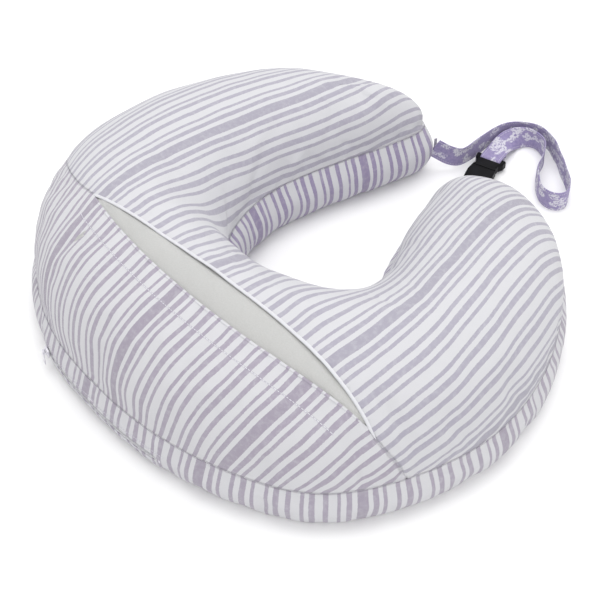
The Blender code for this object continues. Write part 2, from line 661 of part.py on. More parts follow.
def outline_solid(name, outline, thickness, mat, parts, bevel=0.0):
    """Plate with an outline in the buckle's own plane, centred on it."""
    mesh = bpy.data.meshes.new(name)
    bm = bmesh.new()
    face = bm.faces.new([bm.verts.new((x / 1000, y / 1000, -thickness / 2000)) for x, y in outline])
    sides = bmesh.ops.extrude_face_region(bm, geom=[face])
    lifted = [g for g in sides["geom"] if isinstance(g, bmesh.types.BMVert)]
    bmesh.ops.translate(bm, verts=lifted, vec=(0, 0, thickness / 1000))
    bmesh.ops.recalc_face_normals(bm, faces=bm.faces)
    if bevel:
        flat = [e for e in bm.edges if abs(e.verts[0].co.z - e.verts[1].co.z) < 1e-7]
        bmesh.ops.bevel(bm, geom=flat, offset=bevel / 1000, segments=2, affect="EDGES", profile=0.5)
    bm.to_mesh(mesh)
    bm.free()
    return new_object(name, mesh, mat, parts)


def mirrored(half):
    return half + [(x, -y) for x, y in reversed(half) if y > 0]


def bar_cuts(end, inward, parts):
    """The slot beside a strap bar, and the relief over and under the bar; inward is +1 or -1 along the buckle."""
    slot = box("slot", (BAR_SLOT, STRAP_WIDTH + 1.2, BUCKLE_THICK + 4), None, parts)
    slot.location = ((end + inward * (BAR + BAR_SLOT / 2)) / 1000, 0, 0)
    cuts = [slot]
    for side in (-1, 1):
        relief = box("relief", (BAR + BAR_SLOT + 2, STRAP_WIDTH + 1.2, BUCKLE_THICK), None, parts)
        relief.location = ((end + inward * (BAR + BAR_SLOT - 2) / 2) / 1000, 0, side * (BAR + BUCKLE_THICK) / 2000)
        cuts.append(relief)
    return cuts


def make_buckle(parts):
    acetal = material("black_acetal", (0.012, 0.012, 0.014), 0.35)
    half = BUCKLE_WIDTH / 2
    mouth = SOCKET_LENGTH
    socket = outline_solid("buckle_socket", mirrored(
        [(0, half - 4), (1.2, half - 1.6), (4, half - 1), (9, half - 2), (14, half - 1.2), (24, half),
         (mouth, half - 1)]),
        BUCKLE_THICK, acetal, parts, bevel=1.4)
    cavity = box("cavity", (mouth - 9, BUCKLE_WIDTH - 2 * SOCKET_WALL - 2, BUCKLE_THICK - 2 * SOCKET_WALL), None, parts)
    cavity.location = ((mouth + 10) / 2000, 0, 0)
    window = box("window", (11, BUCKLE_WIDTH + 4, BUCKLE_THICK - 2 * SOCKET_WALL - 0.4), None, parts)
    window.location = (0.020, 0, 0)
    cut_from(socket, [cavity, window] + bar_cuts(0, 1, parts))

    clear = PRONG_CLEAR
    inner_height = BUCKLE_THICK - 2 * SOCKET_WALL - 2 * clear
    plug = outline_solid("buckle_plug", mirrored(
        [(mouth + clear, half - 1), (mouth + 5, half - 2.6), (mouth + 10, half - 2), (mouth + 15, half + 1.5),
         (BUCKLE_LENGTH - 1.2, half + 2.4), (BUCKLE_LENGTH, half + 0.6)]), BUCKLE_THICK, acetal, parts, bevel=1.4)
    blade = box("blade", (mouth - 14, BLADE_WIDTH, inner_height), None, parts)
    blade.location = ((mouth + 18) / 2000, 0, 0)
    merge_into(plug, [blade])
    pocket = box("pocket", (6.6, 23.6, inner_height + 2 * clear), None, parts)
    pocket.location = ((mouth + 3.1) / 1000, 0, 0)
    keep = box("keep", (8, BLADE_WIDTH, BUCKLE_THICK), None, parts)
    keep.location = ((mouth + 3.1) / 1000, 0, 0)
    cut_from(pocket, [keep])
    cut_from(plug, [pocket] + bar_cuts(BUCKLE_LENGTH, -1, parts))

    prongs = []
    for name, side in (("plug_prong_left", 1), ("plug_prong_right", -1)):
        outline = [(mouth + 5.6, 6.4), (mouth + 5.6, 9.6), (mouth - 2, 10.6), (25.0, 11.6), (24.4, half - 0.4),
                   (20, half - 0.2), (15.2, half - 2.2), (12.4, half - 5.2), (11.6, 8.4), (13.4, 6.8), (20, 7.8)]
        outline = [(x, side * y) for x, y in outline][::side]
        prong = outline_solid(name, outline, inner_height, acetal, parts, bevel=0.5)
        prongs.append(prong)
    for obj in [socket, plug]:
        obj.matrix_world = BUCKLE_FRAME
    for prong, side in zip(prongs, (1, -1)):
        root = BUCKLE_FRAME @ (Vector((mouth + 5, side * 8, 0)) / 1000)
        axis = joint_axis(prong.name + "_axis", root, parts)
        prong.parent = axis
        prong.matrix_local = Matrix.Translation(-root) @ BUCKLE_FRAME


# ---- straps ----
def wrap_route(bar_x, outward_sign):
    """Side view of a strap end folded round a bar: x along the buckle, z up, from the main strap back under it."""
    reach = BAR / math.sqrt(2) + GAP + STRAP_THICK / 2 + 0.2
    points = [(FOLD_RUN, FOLD_RISE), (9, reach - 0.3), (4, reach)]
    points += [(reach * math.cos(math.radians(a)), reach * math.sin(math.radians(a))) for a in range(80, 281, 20)]
    points += [(4, -reach), (9, -reach + 1.6), (FOLD_RUN - 2, FOLD_RISE - STRAP_THICK - GAP - 0.5)]
    return [(bar_x + outward_sign * x, z) for x, z in points]


def make_straps(parts):
    cotton = material("strap_cotton", (0.62, 0.56, 0.72), 0.85)
    thread = material("thread", (0.82, 0.80, 0.86), 0.8)
    across_buckle = BUCKLE_FRAME.to_3x3() @ Vector((0, 1, 0))
    for name, root_t, route in (("strap_root", BAND_FROM, STRAP_ROOT_ROUTE), ("strap_tab", TAB_ROOT, STRAP_TAB_ROUTE)):
        point, outward = seam([root_t])
        z = STRAP_ROOT_Z
        bulge = wall_bulge([root_t])[0] * math.sin(math.pi * z / wall_height([root_t])[0])
        start = point[0] + outward[0] * (bulge + 1.0)
        straight = [(*start, z, 90), (*(start + outward[0] * 6.5), z - 0.4, 90)]
        ribbon(name, *rolled(straight + route, 4), cotton, parts)
        patch = box(name.replace("strap_", "bartack_"), (0.8, 3.4, STRAP_WIDTH - 3), thread, parts)
        side = np.array([outward[0][1], -outward[0][0]])
        spot = start + outward[0] * 2.4 + side * (STRAP_THICK / 2 + GAP + 0.9)
        patch.matrix_world = (Matrix.Translation(Vector((*spot, z - 1.5)) / 1000)
                              @ Matrix.Rotation(math.atan2(side[1], side[0]), 4, "Z"))
    ribbon("strap_loop", *rolled(STRAP_LOOP_ROUTE), cotton, parts)
    for name, bar_x, sign in (("strap_fold_plug", BUCKLE_LENGTH - BAR / 2, 1), ("strap_fold_socket", BAR / 2, -1)):
        route = [BUCKLE_FRAME @ Vector((x / 1000, 0, z / 1000)) * 1000 for x, z in wrap_route(bar_x, sign)]
        ribbon(name, route, [across_buckle] * len(route), cotton, parts, width=STRAP_WIDTH - 0.6)


def main():
    for obj in list(bpy.data.objects):
        bpy.data.objects.remove(obj)
    parts = bpy.data.collections.new("nursing_pillow")
    cutters = bpy.data.collections.new("cutters")
    bpy.context.scene.collection.children.link(parts)
    bpy.context.scene.collection.children.link(cutters)
    make_cover(parts, cutters)
    make_insert(parts)
    make_zip(parts)
    make_buckle(parts)
    make_straps(parts)


main()
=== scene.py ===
"""Looks of a striped nursing pillow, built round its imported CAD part. Sizes are in metres."""
import math

import bpy
import numpy as np
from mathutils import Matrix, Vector, noise
from mathutils.bvhtree import BVHTree


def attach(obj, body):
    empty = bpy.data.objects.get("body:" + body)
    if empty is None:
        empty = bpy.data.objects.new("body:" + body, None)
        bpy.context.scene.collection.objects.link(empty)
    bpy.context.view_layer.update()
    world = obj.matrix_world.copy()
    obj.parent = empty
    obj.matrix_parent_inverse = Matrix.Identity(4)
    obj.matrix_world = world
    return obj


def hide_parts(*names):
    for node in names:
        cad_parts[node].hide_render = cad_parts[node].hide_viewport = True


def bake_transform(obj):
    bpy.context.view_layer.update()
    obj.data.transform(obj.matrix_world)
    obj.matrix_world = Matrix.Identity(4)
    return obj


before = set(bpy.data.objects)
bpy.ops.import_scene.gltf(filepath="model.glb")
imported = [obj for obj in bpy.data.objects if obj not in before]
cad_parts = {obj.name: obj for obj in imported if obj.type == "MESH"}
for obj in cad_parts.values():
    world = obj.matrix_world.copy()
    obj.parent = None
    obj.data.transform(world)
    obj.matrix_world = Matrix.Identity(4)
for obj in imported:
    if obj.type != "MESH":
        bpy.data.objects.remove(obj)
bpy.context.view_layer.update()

# ---- driving sizes, as in the part ----
BACK_HEIGHT, TIP_HEIGHT = 0.157, 0.123      # crest above the floor
BAND_HEIGHT, WALL_HEIGHT = 0.048, 0.060     # crown seam above the floor, outside and inside
BAND_BULGE, WALL_BULGE = 0.006, 0.012
CROWN_POWER = 2.1
COVER_THICK = 0.0008
FACING_DROP = 0.0009        # from the back panel's lining side to the folded facing's top
CASING_DEPTH, FILLING_DEPTH = 0.0031, 0.0044    # below the cover's outer face
SLIT_LEFT, SLIT_RIGHT = -0.128, 0.232
SLIT_Y_LEFT, SLIT_Y_RIGHT = -0.155, -0.135
SLIT_FRONT_BOW, SLIT_BACK_BOW = 0.006, -0.030
HEM_WIDTH = 0.020
BINDING_WIDTH, BINDING_THICK = 0.0034, 0.0022
STRAP_WIDTH, STRAP_THICK = 0.025, 0.0017
ZIP_MIDDLE_X, ZIP_HALF_LENGTH, ZIP_Z = -0.010, 0.095, 0.022
ZIP_LIP = 0.0034                            # from the zip's middle line to the edge of the cloth beside it
ZIP_STITCH = 0.0078
BASE_ROUND = 0.007                          # how far the band rolls under at the floor

# Seam between crown and walls: x, y, and the place along the crest line that the crown rises to from there.
OUTLINE = [
    (-0.148, 0.213, 0), (-0.203, 0.182, 0.5), (-0.248, 0.125, 1.15), (-0.274, 0.045, 1.8), (-0.279, -0.035, 2.6),
    (-0.26, -0.11, 3.3), (-0.208, -0.181, 4.0), (-0.118, -0.236, 4.5), (-0.018, -0.253, 5.0), (0.087, -0.246, 5.6),
    (0.187, -0.21, 6.3), (0.245, -0.153, 6.9), (0.277, -0.062, 7.7), (0.275, 0.024, 8.3), (0.242, 0.11, 8.9),
    (0.177, 0.185, 9.45), (0.102, 0.214, 10), (0.043, 0.183, 10), (0.036, 0.141, 9.7), (0.062, 0.072, 9.1),
    (0.089, 0.018, 8.25), (0.087, -0.028, 7.55), (0.052, -0.057, 6.6), (-0.012, -0.065, 5.0), (-0.068, -0.042, 3.9),
    (-0.093, 0.012, 2.7), (-0.096, 0.072, 1.75), (-0.08, 0.15, 0.75), (-0.066, 0.212, 0), (-0.07, 0.246, 0),
    (-0.104, 0.235, 0),
]
CREST = [
    (-0.126, 0.162), (-0.168, 0.107), (-0.188, 0.025), (-0.17, -0.06), (-0.113, -0.127), (-0.008, -0.157),
    (0.097, -0.132), (0.164, -0.068), (0.185, 0.01), (0.162, 0.09), (0.097, 0.138),
]
RIGHT_TIP_START, RIGHT_TIP_END, LEFT_TIP_START = 16, 17, 28
BAND_FROM, BAND_TO = 29, 17

# Routes of the two straps' middle lines: x, y, height, and the roll of the width (90 on edge, 0 flat).
STRAP_ROUTE = [
    (-0.0605, 0.2535, 0.0288, 90), (-0.052, 0.262, 0.0215, 90), (-0.044, 0.2715, 0.0156, 90),
    (-0.04, 0.281, 0.0135, 90), (-0.0396, 0.292, 0.0133, 90), (-0.0405, 0.305, 0.0132, 90),
    (-0.042, 0.325, 0.0132, 90), (-0.04, 0.345, 0.0132, 90), (-0.031, 0.363, 0.0132, 90),
    (-0.012, 0.375, 0.0132, 90), (0.011, 0.373, 0.0132, 90), (0.033, 0.361, 0.0132, 90),
    (0.053, 0.347, 0.0132, 90), (0.07, 0.335, 0.0132, 90), (0.082, 0.323, 0.0132, 90), (0.088, 0.311, 0.0132, 90),
    (0.085, 0.301, 0.0132, 90), (0.075, 0.296, 0.0132, 90), (0.062, 0.298, 0.0132, 90), (0.05, 0.307, 0.0132, 90),
    (0.038, 0.32, 0.0132, 90), (0.029, 0.337, 0.0132, 90), (0.02, 0.353, 0.0132, 90), (0.007, 0.363, 0.0132, 90),
    (-0.008, 0.364, 0.0132, 85), (-0.019, 0.356, 0.0128, 68), (-0.0244, 0.344, 0.0118, 38),
    (-0.0246, 0.332, 0.011, 12), (-0.0225, 0.3216, 0.0106, 0),
]
TAB_ROUTE = [
    (0.0335, 0.1975, 0.0286, 90), (0.026, 0.209, 0.025, 84), (0.015, 0.222, 0.017, 58), (0.008, 0.229, 0.0122, 26),
    (0.0039, 0.2378, 0.0106, 2),
]
BUCKLE_CENTRE, BUCKLE_HEADING = Vector((-0.0096, 0.2803, 0.0072)), math.radians(107.5)
BUCKLE_LENGTH, BUCKLE_BAR = 0.056, 0.004

# Printed stripes: evenly spaced in principle, unsteady in place and width, with one wide stripe in each repeat.
STRIPE_SPACING, STRIPE_WIDTH, WIDE_STRIPE = 0.0107, 0.0044, 0.0100
STRIPES_IN_REPEAT = 14
STRIPE_REPEAT = STRIPES_IN_REPEAT * STRIPE_SPACING

# ---- colours ----
CLOTH_WHITE = (0.585, 0.585, 0.605)
FRONT_LILAC = (0.358, 0.342, 0.408)
# The back panel, band and bottom take a darker, redder copy of the front's lilac; its extra darkness is painted shade.
BACK_SHADED_LILAC = (0.335, 0.300, 0.368)
# The inner wall of the hollow takes a darker, deeper copy of the lilac: painted shade.
INNER_SHADED_LILAC = (0.265, 0.220, 0.350)
STRAP_LILAC = (0.24, 0.20, 0.38)
LINING = (0.63, 0.63, 0.62)

# ---- resolution of the cloth ----
SIDE_STEPS, RIGHT_STEPS, LEFT_STEPS = 200, 11, 26
CROWN_LEVELS = 30


# ---- shape of the pillow ----
def closed_spline(points, t):
    """Smooth closed curve through points; t counts points and wraps round."""
    v = np.asarray(points, float)
    n = len(v)
    i = np.arange(n)
    a = np.zeros((n, n))
    a[i, i] = 4
    a[i, (i + 1) % n] = 1
    a[i, i - 1] = 1
    m = np.linalg.solve(a, 6 * (np.roll(v, -1, 0) - 2 * v + np.roll(v, 1, 0)))
    t = np.atleast_1d(np.asarray(t, float))
    k = np.floor(t).astype(int)
    u = (t - k)[:, None]
    k, k1 = k % n, (k + 1) % n
    return v[k] * (1 - u) + v[k1] * u - u * (1 - u) / 6 * ((2 - u) * m[k] + (1 + u) * m[k1])


def open_spline(points, t):
    """Smooth open curve through points, with relaxed ends; t runs from 0 to len(points) - 1."""
    v = np.asarray(points, float)
    n = len(v)
    a = np.eye(n)
    b = np.zeros_like(v)
    for i in range(1, n - 1):
        a[i, i - 1:i + 2] = 1, 4, 1
        b[i] = 6 * (v[i + 1] - 2 * v[i] + v[i - 1])
    m = np.linalg.solve(a, b)
    t = np.atleast_1d(np.asarray(t, float))
    k = np.clip(np.floor(t).astype(int), 0, n - 2)
    u = (t - k)[:, None]
    return v[k] * (1 - u) + v[k + 1] * u - u * (1 - u) / 6 * ((2 - u) * m[k] + (1 + u) * m[k + 1])


ROWS = len(OUTLINE)
OUTLINE_XY = np.array([row[:2] for row in OUTLINE], float)
OUTLINE_LEVEL = np.array([row[2] for row in OUTLINE] + [0], float)
CREST_XY = np.array(CREST, float)


def smooth(x):
    x = np.clip(x, 0, 1)
    return x * x * (3 - 2 * x)


def seam(t):
    """Plan point of the crown seam, and the outward direction there."""
    t = np.atleast_1d(np.asarray(t, float))
    along = closed_spline(OUTLINE_XY, t + 0.02) - closed_spline(OUTLINE_XY, t - 0.02)
    along /= np.linalg.norm(along, axis=1)[:, None]
    return closed_spline(OUTLINE_XY, t), np.stack([along[:, 1], -along[:, 0]], 1)


def inner_share(t):
    """0 on the outer band, 1 on the inner wall, easing over at the tips."""
    t = np.mod(np.asarray(t, float), ROWS)
    return smooth((t - RIGHT_TIP_START) / 3) * (1 - smooth((t - LEFT_TIP_START) / 3))


def wall_height(t):
    towards_tip = smooth((seam(t)[0][:, 1] - 0.040) / 0.150)
    share = np.maximum(inner_share(t), towards_tip)
    return BAND_HEIGHT + (WALL_HEIGHT - BAND_HEIGHT) * share


def crest_height(crest_point):
    back, tip = CREST_XY[:, 1].min(), CREST_XY[0, 1]
    return BACK_HEIGHT + (TIP_HEIGHT - BACK_HEIGHT) * (crest_point[:, 1] - back) / (tip - back)


def seam_stations(steps=SIDE_STEPS, right_steps=RIGHT_STEPS, left_steps=LEFT_STEPS):
    """Places round the seam whose crest points pair up across the crown: t values and crest numbers."""
    rows = np.arange(ROWS + 1)
    level = np.linspace(0, 10, steps + 1)
    outer = np.interp(level, OUTLINE_LEVEL[:RIGHT_TIP_START + 1], rows[:RIGHT_TIP_START + 1])
    inner_rows = rows[RIGHT_TIP_END:LEFT_TIP_START + 1][::-1]
    inner = np.interp(level, OUTLINE_LEVEL[inner_rows], inner_rows)[::-1]
    right = np.linspace(RIGHT_TIP_START, RIGHT_TIP_END, right_steps + 2)[1:-1]
    left = np.linspace(LEFT_TIP_START, ROWS, left_steps + 2)[1:-1]
    t = np.concatenate([outer, right, inner, left])
    crest = np.concatenate([np.arange(steps + 1), np.full(right_steps, steps),
                            np.arange(steps, -1, -1), np.zeros(left_steps, int)]).astype(int)
    return t, crest, level


def grid_faces(rows, columns, closed=False):
    faces = []
    for r in range(rows if closed else rows - 1):
        r1 = (r + 1) % rows
        for c in range(columns - 1):
            faces.append((r * columns + c, r1 * columns + c, r1 * columns + c + 1, r * columns + c + 1))
    return faces


class Sheet:
    """Points and faces of a stretch of cloth, with its own flat coordinates and its distance from a seam."""

    def __init__(self, points, faces, cloth, seam_gap):
        self.points, self.faces = np.asarray(points, float), faces
        self.cloth, self.seam_gap = np.asarray(cloth, float), np.asarray(seam_gap, float)
        self.hem = np.ones((len(self.points), 2))


def crown(inset, flat_height=None, steps=SIDE_STEPS, right=RIGHT_STEPS, left=LEFT_STEPS, levels=CROWN_LEVELS,
          pull_in=0.0):
    """The crowned top, inset from the cover's outer face, or with flat_height the same plan as a flat sheet."""
    t, crest, level = seam_stations(steps, right, left)
    edge, outward = seam(t)
    edge = edge - outward * (inset + pull_in)
    crest_xy = open_spline(CREST_XY, level)
    crest_z = crest_height(crest_xy) - inset
    angle = math.pi / 2 * np.linspace(0, 1, levels) ** 1.15
    run = 1 - np.cos(angle) ** (2 / CROWN_POWER)
    rise = np.sin(angle) ** (2 / CROWN_POWER)
    run[-1], rise[-1] = 1, 1
    ring = edge[:, None] + (crest_xy[crest] - edge)[:, None] * run[None, :, None]
    base = wall_height(t)
    height = base[:, None] + (crest_z[crest] - base)[:, None] * rise[None]
    if flat_height is not None:
        height = np.full_like(height, flat_height)
    ring = np.concatenate([ring, height[..., None]], 2)
    step = np.linalg.norm(np.diff(ring, axis=1), axis=2)
    from_seam = np.concatenate([np.zeros((len(t), 1)), np.cumsum(step, 1)], 1)
    from_crest = from_seam[:, -1:] - from_seam
    aim = edge - crest_xy[crest]
    aim /= np.linalg.norm(aim, axis=1)[:, None]
    cloth = crest_xy[crest][:, None] + aim[:, None] * from_crest[..., None]
    points = np.concatenate([ring[:, :-1].reshape(-1, 3), np.column_stack([crest_xy, crest_z])])
    if flat_height is not None:
        points[:, 2] = flat_height
    cloth = np.concatenate([cloth[:, :-1].reshape(-1, 2), crest_xy])
    longest = np.full(len(crest_xy), from_seam[:, -1].max())
    seam_gap = np.concatenate([from_seam[:, :-1].reshape(-1), longest])
    faces = grid_faces(len(t), levels - 1, closed=True)
    first = len(t) * (levels - 1)
    for k in range(len(t)):
        k1 = (k + 1) % len(t)
        low, low1 = k * (levels - 1) + levels - 2, k1 * (levels - 1) + levels - 2
        top, top1 = first + crest[k], first + crest[k1]
        faces.append((low, low1, top) if top == top1 else (low, low1, top1, top))
    return Sheet(points, faces, cloth, seam_gap)


def wall(start, stop, inset, levels_above=11):
    """A stretch of side wall from the rolled-under foot up to the crown seam."""
    t = np.mod(seam_stations()[0], ROWS)
    both = np.unique(np.concatenate([t, t + ROWS]))
    t = both[(both > start - 1e-6) & (both < stop + 1e-6)]
    edge, outward = seam(t)
    roll = np.radians(np.linspace(0, 90, 5))
    foot = BASE_ROUND * (1 - np.cos(roll))
    zip_rows = np.array([0.0105, 0.0145, ZIP_Z - ZIP_LIP, ZIP_Z + ZIP_LIP, 0.0290]) / BAND_HEIGHT
    share = np.concatenate([zip_rows, np.linspace(0.0290 / BAND_HEIGHT, 1, levels_above - 5)[1:]])
    top = wall_height(t)
    z = np.concatenate([np.broadcast_to(foot, (len(t), len(foot))), top[:, None] * share[None]], 1)
    bulge_size = BAND_BULGE + (WALL_BULGE - BAND_BULGE) * inner_share(t)
    bulge = bulge_size[:, None] * np.sin(math.pi * np.clip(z / top[:, None], 0, 1))
    tuck = np.zeros_like(z)
    tuck[:, :len(foot)] = BASE_ROUND * (1 - np.sin(roll))[None]
    near_zip = smooth((ZIP_HALF_LENGTH + 0.010 - np.abs(edge[:, :1] - ZIP_MIDDLE_X)) / 0.010) * (edge[:, 1:] < 0)
    over_tape = 0.0009 * near_zip * smooth((0.0100 - np.abs(z - ZIP_Z)) / 0.004)
    points = np.zeros(z.shape + (3,))
    points[..., :2] = edge[:, None] + outward[:, None] * (bulge - tuck - inset + over_tape)[..., None]
    points[..., 2] = z
    along = np.concatenate([[0], np.cumsum(np.linalg.norm(np.diff(edge, axis=0), axis=1))])
    cloth = np.stack([np.broadcast_to(along[:, None], z.shape), z], 2)
    sheet = Sheet(points.reshape(-1, 3), grid_faces(len(t), z.shape[1]), cloth.reshape(-1, 2),
                  (top[:, None] - z).reshape(-1))
    sheet.hem[:, 0] = np.where(near_zip > 0.02, np.abs(z - ZIP_Z) - ZIP_STITCH, 1).reshape(-1)
    sheet.hem[:, 1] = sheet.cloth[:, 0]
    return sheet


# ---- slit ----
def slit_lip(bow, x):
    """Plan line of one lip of the slit, which rejoins the panel seam at both ends and runs on with it."""
    x = np.asarray(x, float)
    share = np.clip((x - SLIT_LEFT) / (SLIT_RIGHT - SLIT_LEFT), 0, 1)
    line = SLIT_Y_LEFT + (SLIT_Y_RIGHT - SLIT_Y_LEFT) * share
    line = line + 3.2 * np.maximum(SLIT_LEFT - x, 0) ** 2 + 20 * np.maximum(x - SLIT_RIGHT, 0) ** 2
    return line + bow * np.sin(math.pi * share) ** 0.8


class Surface:
    """Looks up places on a sheet of cloth."""

    def __init__(self, points, faces, cloth=None):
        self.tree = BVHTree.FromPolygons([Vector(p) for p in points], faces)
        self.points, self.faces, self.cloth = points, faces, cloth

    def at(self, x, y):
        spot, normal, _, _ = self.tree.ray_cast(Vector((x, y, 1)), Vector((0, 0, -1)))
        return spot, normal

    def near(self, spot):
        return self.tree.find_nearest(spot)[0]

    def print_at(self, points):
        """Cloth coordinates beside the nearest place on the sheet, so that the stripes run on."""
        first = [self.faces[self.tree.find_nearest(Vector(p))[2]][0] for p in points]
        return self.cloth[first] + (points - self.points[first])[:, :2]


def cut_panel(sheet, surface, bow, side, levels):
    """The part of the crown on one side of a slit lip, with its edge laid exactly along the lip."""
    centre = np.array([sheet.points[list(f), :2].mean(0) for f in sheet.faces])
    keep = side * (centre[:, 1] - slit_lip(bow, centre[:, 0])) > 0
    count = np.zeros((len(sheet.points), 2), int)
    for face, kept in zip(sheet.faces, keep):
        count[list(face), int(kept)] += 1
    ring_points = len(seam_stations()[0]) * (levels - 1)
    for v in np.nonzero((count[:, 0] > 0) & (count[:, 1] > 0))[0]:
        if v < ring_points and v % (levels - 1) == 0:
            continue
        x, y = sheet.points[v, :2]
        new_y = float(slit_lip(bow, x))
        spot, _ = surface.at(x, new_y)
        if spot:
            sheet.cloth[v, 1] += new_y - y
            sheet.points[v] = spot
    used = np.nonzero(count[:, 1] > 0)[0]
    number = {int(v): i for i, v in enumerate(used)}
    panel = Sheet(sheet.points[used], [tuple(number[v] for v in f) for f, kept in zip(sheet.faces, keep) if kept],
                  sheet.cloth[used], sheet.seam_gap[used])
    x, y = panel.points[:, 0], panel.points[:, 1]
    from_lip = side * (y - slit_lip(bow, x))
    in_slit = (x > SLIT_LEFT) & (x < SLIT_RIGHT)
    panel.seam_gap = np.where(in_slit, panel.seam_gap, np.minimum(panel.seam_gap, from_lip))
    if side < 0:
        panel.hem[:, 0] = np.where((x > SLIT_LEFT - 0.004) & (x < SLIT_RIGHT - 0.012), from_lip - HEM_WIDTH, 1)
        panel.hem[:, 1] = x
    return panel


# ---- mesh helpers ----
def new_piece(name, points, faces, mat, smooth_shade=True):
    mesh = bpy.data.meshes.new(name)
    mesh.from_pydata([tuple(p) for p in points], [], faces)
    mesh.materials.append(mat)
    mesh.polygons.foreach_set("use_smooth", [smooth_shade] * len(mesh.polygons))
    mesh.update()
    obj = bpy.data.objects.new(name, mesh)
    bpy.context.scene.collection.objects.link(obj)
    return obj


def set_attribute(obj, name, values):
    """Store a vector on each point, padded to three numbers."""
    values = np.asarray(values, float)
    data = np.zeros((len(values), 3))
    data[:, :values.shape[1]] = values
    layer = obj.data.attributes.new(name, "FLOAT_VECTOR", "POINT")
    layer.data.foreach_set("vector", data.reshape(-1))


def get_points(obj):
    co = np.zeros(len(obj.data.vertices) * 3)
    obj.data.vertices.foreach_get("co", co)
    return co.reshape(-1, 3)


def set_points(obj, points):
    obj.data.vertices.foreach_set("co", np.asarray(points).reshape(-1))
    obj.data.update()


def get_normals(obj):
    co = np.zeros(len(obj.data.vertices) * 3)
    obj.data.vertices.foreach_get("normal", co)
    return co.reshape(-1, 3)


def lean(x, y):
    """How far the crown's cloth is pulled sideways, towards the open side on the arms and away at the slit."""
    left = 0.015 * smooth((y - 0.03) / 0.17) + 0.020 * smooth(-y / 0.15)
    right = 0.052 * smooth((0.17 - y) / 0.25) - 0.030
    share = smooth((x + 0.10) / 0.24)
    sides = left * (1 - share) + right * share
    middle = np.exp(-((x - 0.02) / 0.06) ** 2)
    return sides * (1 - middle) + middle * 0.022 * smooth((-0.07 - y) / 0.05) - 0.008 * smooth((-0.18 - y) / 0.07)


def cloth_piece(name, sheet, mat):
    obj = new_piece(name, sheet.points, sheet.faces, mat)
    wave = 0.0005 * np.sin(sheet.cloth[:, 1] / 0.031 + 9 * sheet.cloth[:, 0])
    wave += 0.0003 * np.sin(sheet.cloth[:, 1] / 0.0117 + 41 * sheet.cloth[:, 0])
    set_attribute(obj, "cloth", sheet.cloth + np.column_stack([wave, 0 * wave]))
    set_attribute(obj, "seam_gap", sheet.seam_gap[:, None])
    set_attribute(obj, "hem", sheet.hem)
    return obj


def edge_points(obj):
    """Numbers of the points on the open edges of a mesh."""
    uses = {}
    for polygon in obj.data.polygons:
        for key in polygon.edge_keys:
            uses[key] = uses.get(key, 0) + 1
    return sorted({v for key, n in uses.items() if n == 1 for v in key})


def smooth_over(obj, values, rounds):
    """Average values with their neighbours' along the mesh's edges."""
    edges = np.zeros(len(obj.data.edges) * 2, int)
    obj.data.edges.foreach_get("vertices", edges)
    a, b = edges.reshape(-1, 2).T
    count = np.bincount(a, minlength=len(values)) + np.bincount(b, minlength=len(values))
    for _ in range(rounds):
        total = np.zeros_like(values)
        np.add.at(total, a, values[b])
        np.add.at(total, b, values[a])
        values = 0.4 * values + 0.6 * total / count[:, None]
    return values


def inflate(obj, cap=0.005, keep_swell=0.25, slack=0.022, pressure=4.0):
    """Blow the sewn-down cloth up a little, and keep the wrinkles that this gives."""
    rest = get_points(obj)
    group = obj.vertex_groups.new(name="sewn")
    group.add([int(v) for v in edge_points(obj)], 1.0, "REPLACE")
    mod = obj.modifiers.new("Cloth", "CLOTH")
    settings = mod.settings
    settings.vertex_group_mass = "sewn"
    settings.use_pressure = True
    settings.uniform_pressure_force = pressure
    settings.effector_weights.gravity = 0
    settings.shrink_min = -slack
    settings.quality = 5
    settings.mass = 0.25
    settings.tension_stiffness = 12
    settings.compression_stiffness = 12
    settings.shear_stiffness = 4
    settings.bending_stiffness = 0.25
    settings.air_damping = 2
    mod.point_cache.frame_start = 1
    mod.point_cache.frame_end = 20
    scene = bpy.context.scene
    for f in range(1, 21):
        scene.frame_set(f)
        bpy.context.view_layer.update()
    graph = bpy.context.evaluated_depsgraph_get()
    shape = obj.evaluated_get(graph).to_mesh()
    moved = np.zeros(len(rest) * 3)
    shape.vertices.foreach_get("co", moved)
    obj.evaluated_get(graph).to_mesh_clear()
    obj.modifiers.remove(mod)
    scene.frame_set(1)
    shift = moved.reshape(-1, 3) - rest
    swell = smooth_over(obj, shift, 60)
    shift = shift - (1 - keep_swell) * swell
    size = np.linalg.norm(shift, axis=1)[:, None]
    shift *= cap * np.tanh(size / cap) / np.maximum(size, 1e-9)
    pins = edge_points(obj)
    shift[pins] = 0
    set_points(obj, rest + shift)


def pucker(along):
    """Uneven ripple along a sewn edge, about -1 to 1."""
    ripple = np.sin(along / 0.0051 + 1.7 * np.sin(along / 0.043)) * (0.6 + 0.4 * np.sin(along / 0.081 + 1))
    return 0.7 * ripple + 0.3 * np.sin(along / 0.0023 + 2.2 * np.sin(along / 0.037))


def rumple(obj, along, gap, size=0.0007, lumps=0.0016):
    """Add seam puckers, fading away from the seam, and the soft lumps of the stuffing."""
    points, normals = get_points(obj), get_normals(obj)
    reach = np.clip(gap, 0, 1)
    fade = (reach / 0.007) * np.exp(1 - reach / 0.007)
    push = size * fade * pucker(along) - 0.0004 * fade
    lump = np.array([noise.noise(Vector(p) * 13) + 0.5 * noise.noise(Vector(p) * 31) for p in points])
    push += lumps * lump * smooth(reach / 0.035)
    set_points(obj, points + normals * push[:, None])


def finish_cloth(obj, thick=COVER_THICK, levels=1):
    sub = obj.modifiers.new("Subdivision", "SUBSURF")
    sub.levels = levels
    sub.render_levels = levels
    solid = obj.modifiers.new("Thickness", "SOLIDIFY")
    solid.thickness = thick
    solid.offset = -1


